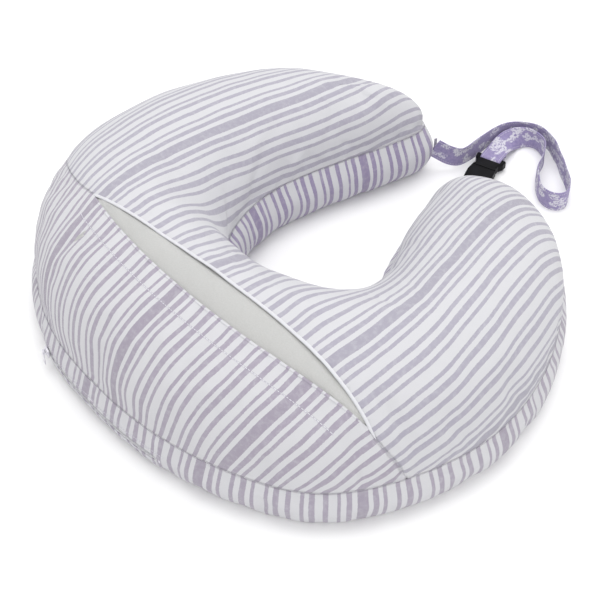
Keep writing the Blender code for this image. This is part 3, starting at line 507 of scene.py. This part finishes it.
# ---- material helpers ----
class Shader:
    """A node material on a Principled shader, with short ways to add nodes."""

    def __init__(self, name, roughness, **sockets):
        self.mat = bpy.data.materials.new(name)
        self.mat.use_nodes = True
        self.tree = self.mat.node_tree
        self.main = self.tree.nodes["Principled BSDF"]
        self.main.inputs["Roughness"].default_value = roughness
        for socket, value in sockets.items():
            self.main.inputs[socket.replace("_", " ")].default_value = value

    def node(self, kind, *inputs, **settings):
        node = self.tree.nodes.new("ShaderNode" + kind)
        for key, value in settings.items():
            setattr(node, key, value)
        for slot, value in enumerate(inputs):
            self.feed(value, node.inputs[slot])
        return node

    def feed(self, value, socket):
        if isinstance(value, bpy.types.NodeSocket):
            self.tree.links.new(value, socket)
        elif value is not None:
            socket.default_value = value

    def math(self, operation, a, b=None, clamp=False):
        return self.node("Math", a, b, operation=operation, use_clamp=clamp).outputs[0]

    def attribute(self, name):
        return self.node("Attribute", attribute_name=name).outputs["Vector"]

    def split(self, vector):
        return self.node("SeparateXYZ", vector).outputs

    def noise(self, vector, scale, detail=2.0, roughness=0.5):
        node = self.node("TexNoise")
        self.feed(vector, node.inputs["Vector"])
        node.inputs["Scale"].default_value = scale
        node.inputs["Detail"].default_value = detail
        node.inputs["Roughness"].default_value = roughness
        return node.outputs["Fac"]

    def remap(self, value, low, high, to_low=0.0, to_high=1.0, curve="SMOOTHSTEP"):
        node = self.node("MapRange", value, low, high, to_low, to_high, interpolation_type=curve)
        return node.outputs[0]

    def mix(self, share, a, b, blend="MIX"):
        node = self.node("Mix", data_type="RGBA", blend_type=blend)
        self.feed(share, node.inputs[0])
        self.feed(a if isinstance(a, bpy.types.NodeSocket) else (*a, 1), node.inputs[6])
        self.feed(b if isinstance(b, bpy.types.NodeSocket) else (*b, 1), node.inputs[7])
        return node.outputs[2]

    def bump(self, height, distance, strength=1.0, base=None):
        node = self.node("Bump")
        self.feed(height, node.inputs["Height"])
        node.inputs["Distance"].default_value = distance
        node.inputs["Strength"].default_value = strength
        if base:
            self.feed(base, node.inputs["Normal"])
        return node.outputs[0]

    def done(self, colour, normal=None):
        self.feed(colour if isinstance(colour, bpy.types.NodeSocket) else (*colour, 1), self.main.inputs["Base Color"])
        if normal:
            self.feed(normal, self.main.inputs["Normal"])
        return self.mat

    def weave(self, across, along, pitch):
        """Height of a plain weave from the cloth's own coordinates."""
        turn = 2 * math.pi / pitch
        a = self.math("SINE", self.math("MULTIPLY", across, turn))
        b = self.math("SINE", self.math("MULTIPLY", along, turn))
        return self.math("MULTIPLY", a, b)

    def stitches(self, hem, pitch=0.0030, half_width=0.00042):
        """1 on the thread of a line of stitches, 0 beside it."""
        gap, along, _ = self.split(hem)
        on_line = self.remap(self.math("ABSOLUTE", gap), half_width, half_width * 0.4)
        dash = self.math("FRACT", self.math("DIVIDE", along, pitch))
        on_thread = self.remap(self.math("ABSOLUTE", self.math("SUBTRACT", dash, 0.5)), 0.38, 0.30)
        return self.math("MULTIPLY", on_line, on_thread)


def stripes():
    """Middle and width of each stripe in one repeat of the cloth."""
    places = []
    for k in range(STRIPES_IN_REPEAT):
        middle = (k + 0.66 + 0.12 * math.sin(2.3 * k)) * STRIPE_SPACING
        width = WIDE_STRIPE if k == 0 else STRIPE_WIDTH * (1 + 0.28 * math.sin(1.9 * k + 0.5))
        places.append((middle, width))
    return places


def printed_cotton(name, lilac):
    """Pale cotton with uneven faded lilac stripes, with painted shade in the seam grooves and beside the stitch lines.
    """
    s = Shader(name, 0.86, Sheen_Weight=0.18, Sheen_Roughness=0.5)
    cloth = s.attribute("cloth")
    across, along, _ = s.split(cloth)
    drift = s.math("MULTIPLY", s.math("SUBTRACT", s.noise(cloth, 26, 3), 0.5), 0.0022)
    fray = s.math("MULTIPLY", s.math("SUBTRACT", s.noise(cloth, 900, 2), 0.5), 0.0011)
    place = s.math("ADD", s.math("ADD", across, drift), fray)
    share = s.math("FRACT", s.math("DIVIDE", place, STRIPE_REPEAT))
    ramp = s.node("ValToRGB", share)
    band = ramp.color_ramp
    band.interpolation = "CONSTANT"
    band.elements[0].color = (*CLOTH_WHITE, 1)
    band.elements.remove(band.elements[1])
    for middle, width in stripes():
        colour = tuple(0.94 * c for c in lilac) if width == WIDE_STRIPE else lilac
        for edge, tone in ((middle - width / 2, colour), (middle + width / 2, CLOTH_WHITE)):
            band.elements.new(edge / STRIPE_REPEAT).color = (*tone, 1)
    faded = s.remap(s.noise(cloth, 160, 4, 0.7), 0.42, 0.75, 0, 0.30)
    colour = s.mix(faded, ramp.outputs[0], CLOTH_WHITE)
    gap = s.split(s.attribute("seam_gap"))[0]
    fold = s.remap(gap, 0.0002, 0.0016)
    # painted shade: the cloth darkens over the last 1.6 mm towards a seam, where the seam's groove lies in shade
    colour = s.mix(s.remap(gap, 0.0, 0.0016, 0.22, 0), colour, (0.36, 0.34, 0.42))
    threads = s.weave(across, along, 0.00075)
    slub = s.noise(cloth, 1300, 3, 0.7)
    colour = s.mix(s.remap(slub, 0.3, 0.75, 0.10, 0), colour, (0.45, 0.43, 0.50))
    stitch = s.stitches(s.attribute("hem"))
    groove = s.bump(fold, 0.0007)
    sewn = s.bump(stitch, 0.0005, base=groove)
    woven = s.bump(s.math("ADD", s.math("MULTIPLY", threads, 0.5), slub), 0.00022, 0.8, base=sewn)
    # painted shade: the cloth darkens within 1.2 mm of a stitch line, in the groove that the stitches pull
    stitch_groove_shade = s.remap(s.math("ABSOLUTE", s.split(s.attribute("hem"))[0]), 0.0, 0.0012, 0.35, 0)
    colour = s.mix(stitch_groove_shade, colour, (0.34, 0.31, 0.42))
    colour = s.mix(s.math("MULTIPLY", stitch, 0.8), colour, (0.86, 0.86, 0.90))
    return s.done(colour, woven)


def lining_cotton(name, colour, pitch=0.0011):
    """Plain white woven cloth, placed by the object's own coordinates."""
    s = Shader(name, 0.92, Sheen_Weight=0.15)
    spot = s.node("TexCoord").outputs["Object"]
    x, y, z = s.split(spot)
    threads = s.weave(s.math("ADD", x, z), s.math("ADD", y, z), pitch)
    slub = s.noise(spot, 700, 4, 0.75)
    height = s.math("ADD", s.math("MULTIPLY", threads, 0.6), slub)
    tone = s.mix(s.remap(slub, 0.30, 0.72, 0.30, 0), colour, (0.46, 0.46, 0.44))
    tone = s.mix(s.remap(s.noise(spot, 45, 3), 0.35, 0.7, 0.07, 0), tone, (0.60, 0.60, 0.57))
    return s.done(tone, s.bump(height, 0.0006, 0.9))


def tape_cotton(name, colour):
    """Narrow twill tape."""
    s = Shader(name, 0.85, Sheen_Weight=0.1)
    spot = s.node("TexCoord").outputs["Object"]
    x, y, z = s.split(spot)
    twill = s.math("SINE", s.math("MULTIPLY", s.math("ADD", s.math("ADD", x, y), z), 2 * math.pi / 0.0009))
    grain = s.noise(spot, 1100, 2)
    tone = s.mix(s.remap(grain, 0.35, 0.7, 0.12, 0), colour, (0.55, 0.55, 0.58))
    return s.done(tone, s.bump(s.math("ADD", s.math("MULTIPLY", twill, 0.4), grain), 0.00025, 0.8))


def strap_cotton():
    """Lilac strap cloth printed with pale leafy marks, and stitched down both edges."""
    s = Shader("strap_cotton", 0.8, Sheen_Weight=0.15)
    cloth = s.attribute("cloth")
    across, along, _ = s.split(cloth)
    bend = s.noise(cloth, 120, 3)
    warped = s.node("VectorMath", cloth, operation="ADD")
    s.feed(s.node("CombineXYZ", s.math("MULTIPLY", bend, 0.013), s.math("MULTIPLY", bend, 0.009)).outputs[0],
           warped.inputs[1])
    leaf = s.node("TexVoronoi", feature="SMOOTH_F1")
    stretch = s.node("VectorMath", warped.outputs[0], (1.0, 0.55, 1.0), operation="MULTIPLY")
    s.feed(stretch.outputs[0], leaf.inputs["Vector"])
    leaf.inputs["Scale"].default_value = 115
    leaf.inputs["Smoothness"].default_value = 0.25
    mark = s.remap(leaf.outputs["Distance"], 0.50, 0.42)
    vein = s.remap(s.noise(cloth, 420, 3), 0.40, 0.52)
    ground = s.mix(s.remap(s.noise(cloth, 300, 3), 0.35, 0.7, 0.25, 0), STRAP_LILAC, (0.48, 0.43, 0.60))
    colour = s.mix(s.math("MULTIPLY", s.math("MULTIPLY", mark, vein), 0.85), ground, (0.66, 0.65, 0.70))
    stitch = s.stitches(s.attribute("hem"), 0.0026, 0.00038)
    colour = s.mix(s.math("MULTIPLY", stitch, 0.6), colour, (0.80, 0.78, 0.86))
    threads = s.weave(across, along, 0.0008)
    slub = s.noise(cloth, 1200, 2)
    sewn = s.bump(stitch, 0.0004)
    return s.done(colour, s.bump(s.math("ADD", s.math("MULTIPLY", threads, 0.5), slub), 0.0002, 0.8, base=sewn))


def moulded_black():
    """Black moulded plastic with a fine grain and a soft shine."""
    s = Shader("moulded_black", 0.40, Specular_IOR_Level=0.10)
    spot = s.node("TexCoord").outputs["Object"]
    grain = s.noise(spot, 1500, 2)
    wear = s.noise(spot, 90, 3)
    s.feed(s.remap(wear, 0.35, 0.7, 0.32, 0.48), s.main.inputs["Roughness"])
    tone = s.mix(s.remap(wear, 0.4, 0.75), (0.003, 0.003, 0.004), (0.006, 0.006, 0.008))
    return s.done(tone, s.bump(grain, 0.00006, 0.6))


def zip_coil():
    """Nylon coil, ridged across its length, with painted shade in the grooves between the turns."""
    s = Shader("zip_coil", 0.38)
    spot = s.node("TexCoord").outputs["Object"]
    turn = s.math("SINE", s.math("MULTIPLY", s.split(spot)[0], 2 * math.pi / 0.0013))
    # painted shade: darker in the grooves between turns, lighter on their tops, following the ridge bump
    tone = s.mix(s.remap(turn, -1, 1), (0.50, 0.50, 0.54), (0.84, 0.84, 0.87))
    return s.done(tone, s.bump(turn, 0.0005))


def enamelled_metal():
    """Pale enamelled casting, slightly uneven."""
    s = Shader("enamelled_metal", 0.28, Metallic=0.35, Coat_Weight=0.4, Coat_Roughness=0.15)
    spot = s.node("TexCoord").outputs["Object"]
    patch = s.noise(spot, 260, 3)
    tone = s.mix(s.remap(patch, 0.35, 0.7), (0.60, 0.59, 0.64), (0.74, 0.73, 0.78))
    return s.done(tone, s.bump(s.noise(spot, 1800, 2), 0.00005, 0.5))


def bar_tack():
    """Dense satin stitching, with painted shade between the threads."""
    s = Shader("bar_tack", 0.55, Sheen_Weight=0.2)
    spot = s.node("TexCoord").outputs["Object"]
    height = s.split(spot)[2]
    wobble = s.math("MULTIPLY", s.noise(spot, 400, 2), 0.0006)
    turn = s.math("SINE", s.math("MULTIPLY", s.math("ADD", height, wobble), 2 * math.pi / 0.0007))
    # painted shade: darker between the threads, lighter on their tops, following the ridge bump
    tone = s.mix(s.remap(turn, -1, 1), (0.52, 0.49, 0.60), (0.84, 0.82, 0.88))
    return s.done(tone, s.bump(turn, 0.0004))


def fibre_fluff():
    s = Shader("fibre_fluff", 1.0, Sheen_Weight=0.4)
    spot = s.node("TexCoord").outputs["Object"]
    strands = s.noise(spot, 240, 6, 0.8)
    tone = s.mix(s.remap(strands, 0.3, 0.7), (0.66, 0.66, 0.64), (0.90, 0.90, 0.89))
    return s.done(tone, s.bump(strands, 0.003, 1.0))


# ---- straps ----
def fold_route(bar_x, outward_sign):
    """The strap's end, folded round a buckle bar and back along itself."""
    along = Vector((math.cos(BUCKLE_HEADING), math.sin(BUCKLE_HEADING), 0))
    reach = BUCKLE_BAR / math.sqrt(2) + 0.0013
    side = [(0.009, reach - 0.0003), (0.004, reach)]
    side += [(reach * math.cos(math.radians(a)), reach * math.sin(math.radians(a))) for a in range(80, 281, 20)]
    side += [(0.004, -reach), (0.009, -reach + 0.0016), (0.014, 0.0012)]
    offset = bar_x - BUCKLE_LENGTH / 2
    places = [BUCKLE_CENTRE + along * (offset + outward_sign * x) + Vector((0, 0, z)) for x, z in side]
    return [(*p, 0) for p in places]


def ribbon_frame(route, samples):
    """Middle line of a strap, and the directions of its width and its face, from points that carry a roll."""
    data = open_spline(route, np.linspace(0, len(route) - 1, samples))
    line = data[:, :3]
    along = np.gradient(line, axis=0)
    along /= np.linalg.norm(along, axis=1)[:, None]
    flat = np.gradient(data[:, :2], axis=0)
    flat /= np.linalg.norm(flat, axis=1)[:, None]
    level = np.stack([flat[:, 1], -flat[:, 0], np.zeros(len(flat))], 1)
    roll = np.radians(data[:, 3])[:, None]
    across = level * np.cos(roll) + np.array([0, 0, 1.0]) * np.sin(roll)
    return line, along, across


def strap(name, route, end, mat, spans=5, ring_count=18):
    """Strap along a route, whose last stretch keeps the buckle's own width direction round its bar."""
    line, along, across = ribbon_frame(route, (len(route) - 1) * spans + 1)
    if end:
        tail = open_spline(np.array(end)[:, :3], np.linspace(0, len(end) - 1, (len(end) - 1) * 3 + 1))
        buckle_across = np.array([-math.sin(BUCKLE_HEADING), math.cos(BUCKLE_HEADING), 0])
        if np.dot(buckle_across, across[-1]) < 0:
            buckle_across = -buckle_across
        line = np.concatenate([line, tail])
        across = np.concatenate([across, np.tile(buckle_across, (len(tail), 1))])
        along = np.gradient(line, axis=0)
        along /= np.linalg.norm(along, axis=1)[:, None]
    across = across - (across * along).sum(1)[:, None] * along
    across /= np.linalg.norm(across, axis=1)[:, None]
    face = np.cross(along, across)
    far = np.concatenate([[0], np.cumsum(np.linalg.norm(np.diff(line, axis=0), axis=1))])
    turn = np.linspace(0, 2 * math.pi, ring_count, endpoint=False)
    wide = np.sign(np.cos(turn)) * np.abs(np.cos(turn)) ** 0.45
    deep = np.sign(np.sin(turn)) * np.abs(np.sin(turn)) ** 0.45
    ripple = 0.0004 * np.sin(far / 0.0061 + 1.3 * np.sin(far / 0.029))
    fade = smooth(np.minimum(far, far[-1] - far - 0.050) / 0.020)
    cup = (0.0010 * np.sin(far / 0.047 + 0.6) * fade)[:, None] * (wide[None] ** 2 - 0.4)
    edge_wave = (ripple * fade)[:, None] * wide[None] * np.abs(wide[None])
    rings = (line[:, None] + across[:, None] * (STRAP_WIDTH / 2 * wide)[None, :, None]
             + face[:, None] * ((STRAP_THICK / 2 * deep)[None] + cup + edge_wave)[..., None])
    points = rings.reshape(-1, 3)
    n = len(line)
    faces = []
    for r in range(n - 1):
        for c in range(ring_count):
            c1 = (c + 1) % ring_count
            faces.append((r * ring_count + c, (r + 1) * ring_count + c, (r + 1) * ring_count + c1,
                          r * ring_count + c1))
    faces.append(tuple(range(ring_count)))
    faces.append(tuple((n - 1) * ring_count + c for c in range(ring_count - 1, -1, -1)))
    piece = new_piece(name, points, faces, mat)
    offset = np.broadcast_to(wide[None] * STRAP_WIDTH / 2, (n, ring_count)).reshape(-1)
    run = np.repeat(far, ring_count)
    set_attribute(piece, "cloth", np.column_stack([offset + 0.3 * np.tile(deep > 0, n), run]))
    set_attribute(piece, "hem", np.column_stack([np.abs(offset) - 0.0100, run]))
    return piece, [tuple(p) for p in line], far[-1]


def make_straps():
    cotton = strap_cotton()
    plug_bar, socket_bar = BUCKLE_LENGTH - BUCKLE_BAR / 2, BUCKLE_BAR / 2
    short_strap, _, _ = strap("strap_short", TAB_ROUTE, fold_route(socket_bar, -1), cotton)
    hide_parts("strap_tab", "strap_fold_socket")
    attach(short_strap, "pillow")
    long_strap, path, length = strap("strap_long", STRAP_ROUTE, fold_route(plug_bar, 1), cotton)
    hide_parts("strap_root", "strap_loop", "strap_fold_plug")
    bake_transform(long_strap)


# ---- cover ----
def on_pillow(piece, slot, *nodes, fill=None):
    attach(piece, "pillow")
    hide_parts(*nodes)
    return piece


def make_crown(front_cotton, back_shaded_cotton, surface):
    """The two top panels; returns the surface that each one ends up with."""
    shaped = []
    for name, bow, side, cotton, node in (
            ("cover_front_cloth", SLIT_FRONT_BOW, 1, front_cotton, "cover_top_front"),
            ("cover_back_cloth", SLIT_BACK_BOW, -1, back_shaded_cotton, "cover_top_back")):
        panel = cut_panel(crown(0), surface, bow, side, CROWN_LEVELS)
        panel.cloth[:, 0] -= lean(panel.points[:, 0], panel.points[:, 1])
        piece = cloth_piece(name, panel, cotton)
        inflate(piece)
        along = panel.cloth[:, 0] + 0.7 * panel.cloth[:, 1]
        rumple(piece, along, panel.seam_gap)
        shaped.append(Surface(get_points(piece), panel.faces, panel.cloth))
        finish_cloth(piece)
        on_pillow(piece, "cotton_print", node, fill=0.85)
    return shaped


def open_zip_window(sheet):
    """Leave out the faces between the two edges of cloth beside the zip."""
    kept = []
    for face in sheet.faces:
        x, y, z = sheet.points[list(face)].mean(0)
        in_window = abs(z - ZIP_Z) < ZIP_LIP and y < 0 and abs(x - ZIP_MIDDLE_X) < ZIP_HALF_LENGTH - 0.002
        if not in_window:
            kept.append(face)
    sheet.faces = kept
    return sheet


def make_walls(band_shaded_cotton, inner_shaded_cotton):
    band = open_zip_window(wall(BAND_FROM, BAND_TO + ROWS, 0))
    inner = wall(BAND_TO, BAND_FROM, 0)
    for name, sheet, cotton, node in (("cover_band_cloth", band, band_shaded_cotton, "cover_side_band"),
                                      ("cover_inner_cloth", inner, inner_shaded_cotton, "cover_inner_wall")):
        piece = cloth_piece(name, sheet, cotton)
        inflate(piece, cap=0.0025)
        from_foot = sheet.points[:, 2]
        near = np.minimum(sheet.seam_gap, np.where(np.abs(sheet.hem[:, 0]) < 0.5, 0.0, from_foot))
        rumple(piece, sheet.cloth[:, 0], near, size=0.0005, lumps=0.0010)
        finish_cloth(piece)
        on_pillow(piece, "cotton_print", node, fill=0.85)


def make_bottom(cotton):
    sheet = crown(COVER_THICK, flat_height=COVER_THICK, steps=90, right=5, left=8, levels=12,
                  pull_in=BASE_ROUND - COVER_THICK)
    sheet.faces = [face[::-1] for face in sheet.faces]
    piece = cloth_piece("cover_bottom_cloth", sheet, cotton)
    points = get_points(piece)
    points[:, 2] = 0
    set_points(piece, points)
    finish_cloth(piece)
    on_pillow(piece, "cotton_print", "cover_bottom_panel", fill=0.85)


def lip_sweep(name, surface, cloth, bow, side, left, right, width, thick, mat, count=150, ring_count=10):
    """Rounded strip that caps the edge of a slit lip, following the cloth as it lies."""
    x = np.linspace(left, right, count)
    turn = np.linspace(0, 2 * math.pi, ring_count, endpoint=False)
    points = []
    for k in range(count):
        y = float(slit_lip(bow, x[k]))
        slope = float(slit_lip(bow, x[k] + 0.001) - slit_lip(bow, x[k] - 0.001)) / 0.002
        spot, normal = surface.at(x[k], y)
        spot = cloth.near(spot)
        along = Vector((1, slope, 0)).normalized()
        inward = side * normal.cross(along).normalized()
        end = min(1.0, (k + 0.5) / 3, (count - k - 0.5) / 3)
        swell = 1 + 0.10 * math.sin(x[k] / 0.004) + 0.06 * math.sin(x[k] / 0.0017 + 1)
        for angle in turn:
            wide = (math.cos(angle) * 0.5 + 0.22) * width * end
            deep = math.sin(angle) * 0.5 * thick * end * swell - COVER_THICK / 2
            points.append(spot + inward * wide + normal * deep)
    faces = grid_faces(count, ring_count)
    for r in range(count - 1):
        a, b = r * ring_count, (r + 1) * ring_count
        faces.append((a + ring_count - 1, b + ring_count - 1, b, a))
    faces.append(tuple(range(ring_count)))
    faces.append(tuple((count - 1) * ring_count + c for c in range(ring_count - 1, -1, -1)))
    return new_piece(name, points, faces, mat)


def make_slit(cotton, surface, front_cloth, back_cloth):
    tape = tape_cotton("binding_tape", (0.66, 0.66, 0.69))
    binding = lip_sweep("slit_binding_tape", surface, front_cloth, SLIT_FRONT_BOW, 1, SLIT_LEFT - 0.006, SLIT_RIGHT + 0.010,
                        BINDING_WIDTH, BINDING_THICK, tape)
    on_pillow(binding, "white_binding", "slit_binding")
    fold = lip_sweep("slit_folded_edge", surface, back_cloth, SLIT_BACK_BOW, -1, SLIT_LEFT + 0.002, SLIT_RIGHT - 0.004,
                     0.0030, 0.0019, cotton)
    spots = get_points(fold)
    set_attribute(fold, "cloth", back_cloth.print_at(spots))
    set_attribute(fold, "seam_gap", np.ones((len(spots), 1)))
    set_attribute(fold, "hem", np.ones((len(spots), 2)))
    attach(fold, "pillow")

    x = np.linspace(SLIT_LEFT + 0.006, SLIT_RIGHT - 0.008, 90)
    down = np.linspace(0.0006, HEM_WIDTH, 8)
    points = []
    for a in x:
        lip = float(slit_lip(SLIT_BACK_BOW, a))
        for d in down:
            spot, normal = surface.at(a, lip - d)
            points.append(back_cloth.near(spot) - normal * (COVER_THICK + FACING_DROP))
    facing = new_piece("slit_hem_facing", points, grid_faces(len(x), len(down)), cotton)
    spots = np.array([tuple(p) for p in points])
    set_attribute(facing, "cloth", back_cloth.print_at(spots))
    set_attribute(facing, "seam_gap", np.ones((len(spots), 1)))
    set_attribute(facing, "hem", np.ones((len(spots), 2)))
    solid = facing.modifiers.new("Thickness", "SOLIDIFY")
    solid.thickness = 0.0006
    solid.offset = 1
    on_pillow(facing, "cotton_print", "slit_hem")


# ---- insert ----
def slit_depth(points):
    """How deep a point lies inside the open slit: 1 in the middle, 0 at the lips and beyond."""
    x, y = points[:, 0], points[:, 1]
    front, back = slit_lip(SLIT_FRONT_BOW, x), slit_lip(SLIT_BACK_BOW, x)
    half = np.maximum((front - back) / 2, 1e-6)
    share = 1 - np.abs(y - (front + back) / 2) / (half + 0.006)
    return smooth(share * 1.3) * (half > 0.001)


def make_insert():
    lining = lining_cotton("casing_cotton", LINING)
    sheet = crown(CASING_DEPTH)
    top = new_piece("insert_casing_crown", sheet.points, sheet.faces, lining)
    points, normals = get_points(top), get_normals(top)
    lump = np.array([noise.noise(Vector(p) * 24) + 0.6 * noise.noise(Vector(p) * 60) for p in points])
    push = slit_depth(points) * (0.0024 + 0.0009 * lump)
    set_points(top, points + normals * push[:, None])
    finish_cloth(top, 0.0005)
    on_pillow(top, "white_cotton", "insert_casing_top", fill=0.85)

    n_levels = 8
    t, _, _ = seam_stations(90, 5, 8)
    edge, outward = seam(t)
    for name, depth, mat, slot, node, closed in (
            ("insert_casing_tray", CASING_DEPTH, lining, "white_cotton", "insert_casing_base", False),
            ("stuffing", FILLING_DEPTH, fibre_fluff(), "fibre_fill", "fibre_filling", True)):
        low = depth - 0.0010
        top_z = wall_height(t)
        z = low + (top_z - low)[:, None] * np.linspace(0, 1, n_levels)[None]
        size = BAND_BULGE + (WALL_BULGE - BAND_BULGE) * inner_share(t)
        bulge = size[:, None] * np.sin(math.pi * z / top_z[:, None])
        tuck = BASE_ROUND * (1 - smooth(z / 0.016)) * 0.8
        points = np.zeros(z.shape + (3,))
        points[..., :2] = edge[:, None] + outward[:, None] * (bulge - tuck - depth)[..., None]
        points[..., 2] = z
        floor = crown(depth, flat_height=low, steps=90, right=5, left=8, levels=8, pull_in=0.8 * BASE_ROUND)
        points = [points.reshape(-1, 3), floor.points]
        faces = grid_faces(len(t), n_levels, closed=True)
        faces += [tuple(v + len(points[0]) for v in face[::-1]) for face in floor.faces]
        if closed:
            lid = crown(depth, steps=90, right=5, left=8, levels=12)
            faces += [tuple(v + len(points[0]) + len(points[1]) for v in face) for face in lid.faces]
            points.append(lid.points)
        piece = new_piece(name, np.concatenate(points), faces, mat)
        weld = piece.modifiers.new("Weld", "WELD")
        weld.merge_threshold = 0.0004
        if not closed:
            solid = piece.modifiers.new("Thickness", "SOLIDIFY")
            solid.thickness = 0.0005
            solid.offset = -1
        on_pillow(piece, slot, node, fill=0.85)


# ---- carried-over pieces ----
def dress_nodes():
    finishes = {"moulded_black": moulded_black(), "tape": tape_cotton("zip_tape_cloth", (0.80, 0.79, 0.84)),
                "coil": zip_coil(), "metal": enamelled_metal(), "tack": bar_tack()}
    dressed = {
        "moulded_black": ("buckle_plug", "buckle_socket", "plug_prong_left", "plug_prong_right"),
        "tape": ("zip_tape_lower", "zip_tape_upper"),
        "coil": ("zip_coil_lower", "zip_coil_upper"),
        "metal": ("zip_slider", "zip_pull", "zip_stop_left", "zip_stop_right"),
        "tack": ("bartack_root", "bartack_tab"),
    }
    for finish, names in dressed.items():
        for name in names:
            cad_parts[name].material_slots[0].material = finishes[finish]


# ---- camera, floor and light ----
def make_camera():
    """The photograph's angle: from the right and behind, looking down at the pillow."""
    around, above = math.radians(48.0), math.radians(45.1)
    target = Vector((0.0429, -0.0438, 0.060))
    back = Vector((math.sin(around) * math.cos(above), -math.cos(around) * math.cos(above), math.sin(above)))
    camera = bpy.data.objects.new("camera", bpy.data.cameras.new("camera"))
    camera.location = target + back * 1.3867
    camera.rotation_euler = (-back).to_track_quat("-Z", "Y").to_euler()
    camera.data.lens = 84.85
    camera.data.sensor_width = 36
    bpy.context.scene.collection.objects.link(camera)
    bpy.context.scene.camera = camera


def make_floor():
    s = Shader("floor_paper", 0.95)
    spot = s.node("TexCoord").outputs["Object"]
    tone = s.mix(s.noise(spot, 3, 2), (0.90, 0.90, 0.90), (0.92, 0.92, 0.92))
    half = 4.0
    corners = [(-half, -half, -0.0004), (half, -half, -0.0004), (half, half, -0.0004), (-half, half, -0.0004)]
    floor = new_piece("floor", corners, [(0, 1, 2, 3)], s.done(tone))


def area_light(name, place, aim, size, power):
    data = bpy.data.lights.new(name, "AREA")
    data.shape = "DISK"
    data.size = size
    data.energy = power
    lamp = bpy.data.objects.new(name, data)
    lamp.location = place
    lamp.rotation_euler = (Vector(aim) - Vector(place)).to_track_quat("-Z", "Y").to_euler()
    bpy.context.scene.collection.objects.link(lamp)


def make_light():
    world = bpy.data.worlds.new("studio")
    world.use_nodes = True
    world.node_tree.nodes["Background"].inputs[0].default_value = (1, 1, 1, 1)
    world.node_tree.nodes["Background"].inputs[1].default_value = 0.88
    bpy.context.scene.world = world
    bpy.context.scene.view_settings.view_transform = "Standard"
    area_light("key", (-0.3, 0.3, 2.0), (0, 0, 0.05), 2.4, 27)
    area_light("fill", (1.5, -1.0, 1.6), (0, 0, 0.05), 1.8, 13)


make_camera()
make_straps()
front_cotton = printed_cotton("printed_cotton_front", FRONT_LILAC)
back_shaded_cotton = printed_cotton("printed_cotton_back_shaded", BACK_SHADED_LILAC)
smooth_crown = crown(0)
cover_surface = Surface(smooth_crown.points, smooth_crown.faces)
front_cloth, back_cloth = make_crown(front_cotton, back_shaded_cotton, cover_surface)
make_walls(back_shaded_cotton, printed_cotton("printed_cotton_inner_shaded", INNER_SHADED_LILAC))
make_bottom(back_shaded_cotton)
make_slit(back_shaded_cotton, cover_surface, front_cloth, back_cloth)
make_insert()
dress_nodes()
make_floor()
make_light()
